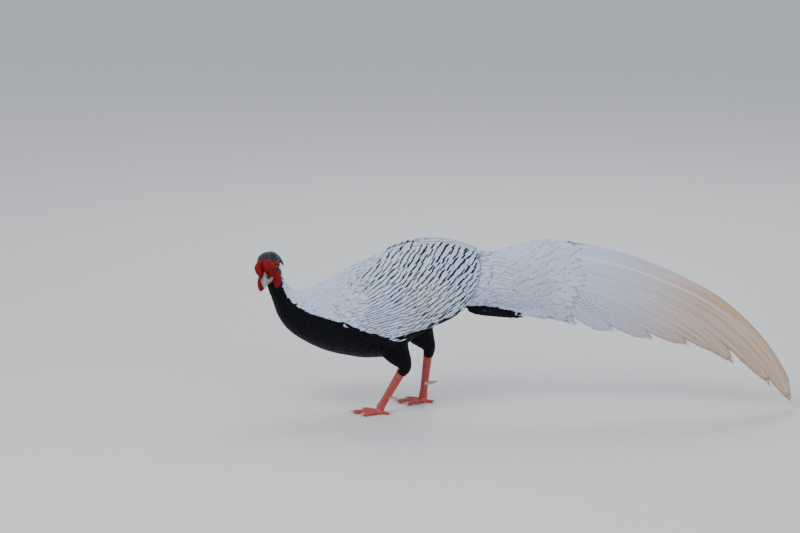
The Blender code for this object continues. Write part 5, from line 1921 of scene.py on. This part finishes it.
def bill_material():
    made, tree, shader = new_material("bill_horn", 0.34, Specular_IOR_Level=0.45, Coat_Weight=0.15)
    streaks = noise(tree, 420.0, 3.0)
    base = colour_mix(tree, streaks.ramp(0.3, 0.7), (0.150, 0.155, 0.120), (0.300, 0.300, 0.245))
    base = colour_mix(tree, reading(tree, "ahead").ramp(0.75, 1.0), base, (0.370, 0.355, 0.300))
    base = colour_mix(tree, reading(tree, "ahead").ramp(0.28, 0.05) * 0.6, base, (0.300, 0.230, 0.170))
    # The recess at the base of the upper half is coloured dark: painted shade.
    base = colour_mix(tree, reading(tree, "shaded_recess") * 0.85, base, (0.060, 0.022, 0.020))
    # Darker in the hollows of the bill: painted shade.
    plug(tree, colour_mix(tree, reading(tree, "hollow").ramp(0.58, 0.90), base, (0.016, 0.010, 0.009)),
         shader.inputs["Base Color"])
    bump(tree, shader, streaks, 0.0002, 0.4)
    return made


BILL_HORN = bill_material()
done(make_bill("bill_ridge", UPPER_BILL, True), BILL_HORN, ("bill_upper",))
done(make_bill("bill_under", LOWER_BILL, False), BILL_HORN, ("bill_lower",))

# %% [markdown]
# Small feathers, the finest on the bird, cover the rest of the head from the edge of the red skin
# down to the neck, black on the crown and throat and white at the nape. They are set on points
# strewn over the skin, one kept in each cell of a grid, and only where no red skin covers it.
# Long loose black plumes make the crest, which lies back from the crown and droops at the nape.

# %% Head feathers and crest
NECK_WAY = unit([0.013, 0.010, -0.029])
SAMPLES, HEAD_SPACING, HEAD_RAGGED = 5, 0.0017, 0.0003


def strewn(chance, places, spacing):
    """Numbers of the places kept, one in each cell of a grid with that spacing."""
    order, kept, cells = list(range(len(places))), [], set()
    chance.shuffle(order)
    for k in order:
        cell = tuple((places[k] / spacing).astype(int))
        if cell not in cells:
            cells.add(cell)
            kept.append(k)
    return kept


def covered(place):
    """Whether a place lies under the red skin."""
    near, normal, _, gap = FACE_TREE.find_nearest(Vector(place))
    return (Vector(place) - near).dot(normal) < 0.0006 and gap < 0.008


def skin_samples(chance, count):
    """Places strewn evenly over the triangles of the skin round the head."""
    places = []
    for polygon in skin.data.polygons:
        local = HEAD_AXES @ (np.array(polygon.center) - SHIFT - HEAD_CENTRE)
        if -0.036 < local[0] < 0.024 and local[2] > -0.040:
            corners = [np.array(skin.data.vertices[v].co) for v in polygon.vertices]
            for _ in range(count):
                weights = np.array([chance.random() for _ in corners])
                places.append((weights / weights.sum()) @ np.array(corners))
    return places


def head_roots(chance):
    places = np.array(skin_samples(chance, SAMPLES))
    roots = []
    for k in strewn(chance, places, HEAD_SPACING):
        local = HEAD_AXES @ (places[k] - SHIFT - HEAD_CENTRE)
        if covered(places[k]) or local[0] > (0.0235 if local[2] < -0.006 else 0.0190):
            continue
        drooping = 0.35 + 1.3 * smooth((0.012 - local[2]) / 0.024)
        way = -FORWARD + NECK_WAY * drooping
        here = places[k] - SHIFT
        grown = smooth((0.020 - local[0]) / 0.045)
        made = root(chance, SKIN_SURFACE, here, here + way * 0.01, mix(0.0050, 0.0100, grown),
                    mix(0.0028, 0.0050, grown), -0.0004, 0.0014)
        ahead = made["place"] + made["flow"] * 0.004
        made["white"] = below_black_line(ahead) < chance.gauss(0, HEAD_RAGGED)
        roots.append(made)
    return roots


# The crest along its middle: forward, up, half width and half height.
CREST_SPINE = [
    (0.0060, 0.0185, 0.0110, 0.0070),
    (-0.0040, 0.0165, 0.0170, 0.0130),
    (-0.0160, 0.0145, 0.0185, 0.0148),
    (-0.0270, 0.0075, 0.0165, 0.0135),
    (-0.0370, -0.0030, 0.0135, 0.0105),
    (-0.0440, -0.0130, 0.0100, 0.0080),
    (-0.0480, -0.0210, 0.0060, 0.0050),
]


def crest_point(place, turn):
    forward, up, wide, high = along(CREST_SPINE, place)
    return head_point(forward, wide * math.sin(turn), up + high * math.cos(turn))


def crest_guide():
    places = np.linspace(0, len(CREST_SPINE) - 1, 26)
    return loft("crest_guide", [[crest_point(place, t) for t in ring_angles(32)] for place in places])


def crest_roots(chance):
    roots = []
    for place in np.linspace(0.1, 3.6, 17):
        for turn in np.linspace(-1.75, 1.75, 23):
            turn, at = turn + chance.uniform(-0.07, 0.07), place + chance.uniform(-0.1, 0.1)
            here, behind = crest_point(max(0.0, at), turn), crest_point(max(0.0, at) + 0.2, turn * 0.96)
            long = mix(0.012, 0.028, smooth(at / 2.6)) * chance.uniform(0.8, 1.15)
            roots.append(root(chance, CREST_SURFACE, here, behind, long, chance.uniform(0.0018, 0.0030),
                              -0.0012, chance.uniform(0.0008, 0.0026)))
    return roots


grown_head = head_roots(random.Random(SEED + 20))
grow_coat("head_feathers", [r for r in grown_head if not r["white"]], SMALL_VANES, skin, BLACK_PLUMAGE)
grow_coat("nape_feathers", [r for r in grown_head if r["white"]], SMALL_VANES, skin, WHITE_PLUMAGE)
CREST_GUIDE = crest_guide()
CREST_SURFACE = surface_of(CREST_GUIDE, lambda co: co.mean(0))
crest = grow_coat("crest_plumes", crest_roots(random.Random(SEED + 21)), FINE_VANES, CREST_GUIDE,
                  CREST_PLUMAGE)
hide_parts("crest")

# %% [markdown]
# The legs are bare and coral red. Each shank is a fine tube whose front is covered by two rows of
# overlapping scutes and whose back by small scales; every scute rises from its upper edge to its
# lower one, which stands over the next. Toes carry scutes above and soft pads below, and end in
# curved horn claws. A cock also has a spur, a smooth horn cone, on the inner back of each shank.

# %% Shanks, toes, claws and spurs
SHANK_RADII = (0.0072, 0.0060)
SPUR_AT, SPUR_RADIUS, SPUR_LENGTH = 0.68, 0.0040, 0.0240
# Toes: heading from the foot's own, length to the claw, thickness and claw length.
TOES = {
    "middle": (0, 0.047, 0.0046, 0.0105),
    "inner": (36, 0.034, 0.0043, 0.0090),
    "outer": (-36, 0.037, 0.0043, 0.0090),
    "hind": (176, 0.0185, 0.0038, 0.0085),
}
TOE_HEIGHT, TOE_STEPS, PAD_PITCH = 0.0040, 90, 0.0115
FLOOR_GAP = 0.0003
# Scutes: pitch, lanes and height on the front and back of the shank, and on top and under a toe.
FRONT_SCUTES, BACK_SCUTES = (0.0052, 2, 0.00080), (0.0032, 11, 0.00042)
TOE_SCUTES, TOE_SCALES = (0.0031, 1, 0.00042), (0.0013, 5, 0.00012)
FRONT_SHARE = 0.21
SOLE_SIZES = (0.0076, 0.0068, 0.0070)


def scale_rise(distance, turn, pitch, rows, high):
    """Height of overlapping scutes at a distance down a limb and a turn round it."""
    lane = (turn / (2 * math.pi)) % 1.0 * rows
    across = abs(lane % 1.0 - 0.5) * 2
    along_share = (distance / pitch + 0.5 * (int(lane) % 2) - 0.16 * across**2) % 1.0
    step = smooth(along_share / 0.85) * (1 - smooth((along_share - 0.93) / 0.07))
    return high * step * (1 - 0.75 * smooth((across - 0.78) / 0.22))


def scaled_limb(name, places, radii, sides, rise):
    """A closed tube whose surface is raised by rise(distance, turn)."""
    rings, distance = [], 0.0
    for k, ring in enumerate(limb_rings(places, radii, sides)):
        if k:
            distance += float(np.linalg.norm(places[k] - places[k - 1]))
        lifted = []
        for j, place in enumerate(ring):
            out = unit(place - np.asarray(places[k]))
            lifted.append(place + out * rise(distance, 2 * math.pi * j / sides))
        rings.append(lifted)
    return loft(name, rings)


def shank_rise(distance, turn):
    """Two lanes of wide scutes on the front, and small ones behind; the front is at a quarter turn."""
    lane = (turn / (2 * math.pi) - 0.25 + 0.5) % 1.0 - 0.5
    if abs(lane) < FRONT_SHARE:
        return scale_rise(distance, math.pi * (1 + lane / FRONT_SHARE), *FRONT_SCUTES)
    return scale_rise(distance, turn, *BACK_SCUTES)


def shank(leg):
    ankle, toes = (np.array(leg[k]) for k in ("ankle", "ball"))
    direction = unit(toes - ankle)
    start, end = mix(ankle, toes, BOOT_DROP - 0.10), toes - direction * 0.0030
    places, radii = [], []
    for share in np.linspace(0, 1, 170):
        radius = mix(*SHANK_RADII, smooth(share * 1.2)) * (1 + 0.20 * smooth((share - 0.84) / 0.16))
        radius *= 1 + 0.10 * smooth((0.16 - share) / 0.16)
        places.append(mix(start, end, share))
        radii.append((radius * 0.90, radius * 1.05))
    return scaled_limb("shank", places, radii, 64, shank_rise)


def spur(leg, side):
    ankle, toes = (np.array(leg[k]) for k in ("ankle", "ball"))
    direction = unit(toes - ankle)
    back = unit(np.array([1.0, -0.35 * side, 0.05]) - direction * direction[0])
    places, radii = [], []
    for step in np.linspace(0, 1, 30):
        sprung = mix(ankle, toes, SPUR_AT) + back * (0.002 + SPUR_LENGTH * step)
        places.append(sprung + np.array([0, 0, 0.006 * step**2]))
        flare = 1 + 0.5 * smooth((0.18 - step) / 0.18)
        radii.append((SPUR_RADIUS * flare * (1 - step) ** 0.7 + 0.0003 + 0.00006 * math.sin(step * 70),) * 2)
    return loft("spur", limb_rings(places, radii, 24, (0.0, 0.2, 1.0)))


def toe(leg, turn, length, thickness, claw):
    """A toe and its claw. Pads bulge under the joints; the middle toe has the most."""
    heading = math.radians(leg["heading"] + turn)
    ahead = np.array([math.cos(heading), math.sin(heading), 0.0])
    ball_place = np.array(leg["ball"])
    hind = abs(turn) > 90
    pads = 2 if hind else round(length / PAD_PITCH)
    places, radii = [], []
    for step in np.linspace(0, 1, TOE_STEPS):
        low = TOE_HEIGHT * (0.62 if hind else 1.0)
        arch = 0.0012 * math.sin(math.pi * step) * (0 if hind else 1)
        height = mix(ball_place[2] - 0.001, low, smooth(step * (1.6 if hind else 3.2))) + arch
        knuckle = 0.5 + 0.5 * math.cos(2 * math.pi * (step * pads - 0.35))
        radius = thickness * mix(1.0, 0.74, step) * (0.90 + 0.14 * knuckle)
        radius *= 1 - 0.5 * smooth((step - 0.94) / 0.06)
        places.append(ball_place * (1, 1, 0) + ahead * length * step + np.array([0, 0, height]))
        radii.append((radius * 0.98, radius))
    tube = limb_rings(places, radii, 40, (-ahead[1], ahead[0], 0.0))
    rings = []
    for k, ring in enumerate(tube):
        lifted = []
        for place in ring:
            out = unit(place - np.asarray(places[k]))
            if out[2] > 0.15:
                sideways = float(np.dot(out, (-ahead[1], ahead[0], 0.0)))
                move = scale_rise(length * k / TOE_STEPS, math.pi * (1 + 0.5 * sideways), *TOE_SCUTES)
            else:
                knuckle = 0.5 + 0.5 * math.cos(2 * math.pi * (k / TOE_STEPS * pads - 0.35))
                round_it = math.atan2(out[2], 0.6) * 3
                move = 0.0005 * knuckle + scale_rise(length * k / TOE_STEPS, round_it, *TOE_SCALES)
            moved = place + out * move
            lifted.append((moved[0], moved[1], max(FLOOR_GAP, moved[2])))
        rings.append(lifted)
    places, radii, tip = [], [], places[-1]
    for step in np.linspace(0, 1, 26):
        rise = 0.0030 * math.sin(math.pi * step * 0.8) - 0.0042 * step**2
        places.append(tip + ahead * (claw * 1.06 * step - 0.0035) + np.array([0, 0, rise]))
        radius = thickness * 0.56 * (1 - step) ** 0.75 + 0.0002
        radii.append((radius * 0.8, radius * 1.05))
    nail = [[(p[0], p[1], max(FLOOR_GAP, p[2])) for p in ring]
            for ring in limb_rings(places, radii, 20, (-ahead[1], ahead[0], 0.0))]
    return loft("toe", rings), loft("claw", nail)


def leg_material():
    made, tree, shader = new_material("leg_scales", 0.5, Specular_IOR_Level=0.4)
    patchy, fine = noise(tree, 130.0, 3.0), noise(tree, 900.0, 2.0)
    base = colour_mix(tree, patchy.ramp(0.3, 0.7), (0.300, 0.018, 0.016), (0.470, 0.048, 0.040))
    # Darker in the hollows between scutes and scales: painted shade.
    base = colour_mix(tree, reading(tree, "hollow").ramp(0.52, 0.72), base, (0.085, 0.006, 0.008))
    # Paler on the raised edges of the scutes: painted highlight.
    base = colour_mix(tree, reading(tree, "hollow").ramp(0.44, 0.24) * 0.55, base, (0.660, 0.170, 0.150))
    plug(tree, colour_mix(tree, fine * 0.2, base, (0.300, 0.030, 0.025)), shader.inputs["Base Color"])
    bump(tree, shader, fine, 0.0002, 0.4)
    return made


def claw_material():
    made, tree, shader = new_material("claw_horn", 0.35, Specular_IOR_Level=0.5)
    streaks = noise(tree, 500.0, 3.0)
    base = colour_mix(tree, streaks, (0.380, 0.230, 0.190), (0.640, 0.480, 0.420))
    plug(tree, base, shader.inputs["Base Color"])
    bump(tree, shader, streaks, 0.0002, 0.3)
    return made


def make_leg(name, side, leg):
    centre = np.array(leg["ball"]) - np.array([0, 0, 0.0018])
    flesh, horn = [shank(leg), ball("sole", centre, SOLE_SIZES, None, 40, 24)], [spur(leg, side)]
    for key, (turn, length, thickness, claw) in TOES.items():
        inner = turn if key in ("middle", "hind") else turn * -side
        grown, nail = toe(leg, inner, length, thickness, claw)
        flesh.append(grown)
        horn.append(nail)
    flesh, horn = join(flesh), join(horn)
    flesh.name, horn.name = f"leg_{name}", f"claws_{name}"
    store(flesh, "hollow", hollows(flesh, 6, 0.00045))
    for obj in (flesh, horn):
        obj.data.shade_smooth()
    done(flesh, LEG_SCALES, (f"shank_{name}", f"foot_{name}"))
    done(horn, CLAW_HORN, (f"spur_{name}",))


LEG_SCALES, CLAW_HORN = leg_material(), claw_material()
for name, side in SIDES:
    make_leg(name, side, LEGS[name])

# %% [markdown]
# The bird stands on a plain pale floor in soft studio light: one large light above the camera's
# left, a weaker one from the right, one behind for the rim of the back, and a pale sky all round.
# The camera stands where the photographer did, level with the bird's own height at a long lens.

# %% Floor, light and camera


def floor_material():
    made, tree, shader = new_material("studio_floor", 0.85)
    grain = noise(tree, 30.0, 4.0)
    plug(tree, colour_mix(tree, grain, (0.74, 0.74, 0.73), (0.79, 0.79, 0.78)), shader.inputs["Base Color"])
    return made


def area_light(name, place, aim, size, power):
    data = bpy.data.lights.new(name, "AREA")
    data.shape, data.size, data.energy = "DISK", size, power
    obj = bpy.data.objects.new(name, data)
    bpy.context.scene.collection.objects.link(obj)
    obj.location = place
    obj.rotation_euler = (Vector(aim) - Vector(place)).to_track_quat("-Z", "Y").to_euler()


FLOOR_HALF = 14.0
# Each light: name, place, the place that it faces, size and power.
LIGHTS = [
    ("key", (-1.2, -1.6, 2.4), (-0.1, 0, 0.2), 1.6, 36.0),
    ("fill", (1.8, -2.2, 1.2), (0.1, 0, 0.2), 1.8, 14.0),
    ("rim", (0.2, 1.8, 2.2), (-0.1, 0, 0.25), 1.4, 22.0),
]
corners = [(x * FLOOR_HALF, y * FLOOR_HALF, 0.0) for x, y in ((-1, -1), (1, -1), (1, 1), (-1, 1))]
floor = mesh_object("floor", corners, [(0, 1, 2, 3)])
floor.data.materials.append(floor_material())

world = bpy.data.worlds.new("studio")
world.use_nodes = True
world.node_tree.nodes["Background"].inputs["Color"].default_value = (0.86, 0.90, 1.0, 1)
world.node_tree.nodes["Background"].inputs["Strength"].default_value = 0.70
bpy.context.scene.world = world
for light in LIGHTS:
    area_light(*light)

CAMERA_AIM = np.array([-0.2268, 0.0, 0.264]) + SHIFT
CAMERA_RISE, CAMERA_DISTANCE, CAMERA_LENS = 12.0, 5.5, 137.5
camera_data = bpy.data.cameras.new("camera")
camera_data.lens, camera_data.sensor_width = CAMERA_LENS, 36.0
camera_data.clip_start, camera_data.clip_end = 0.05, 50.0
camera = bpy.data.objects.new("camera", camera_data)
bpy.context.scene.collection.objects.link(camera)
rise = math.radians(CAMERA_RISE)
back = Vector((0.0, -math.cos(rise), math.sin(rise)))
camera.location = Vector(CAMERA_AIM) + back * CAMERA_DISTANCE
camera.rotation_euler = (-back).to_track_quat("-Z", "Y").to_euler()
bpy.context.scene.camera = camera

# %% [markdown]
# Last, the guides go, and the pieces and their triangles are counted.

# %% Finish
for guide in (*WING_GUIDES.values(), *TAIL_GUIDES.values(), CREST_GUIDE):
    bpy.data.objects.remove(guide)
print(len(PIECES), "pieces,", sum(PIECES.values()), "triangles")
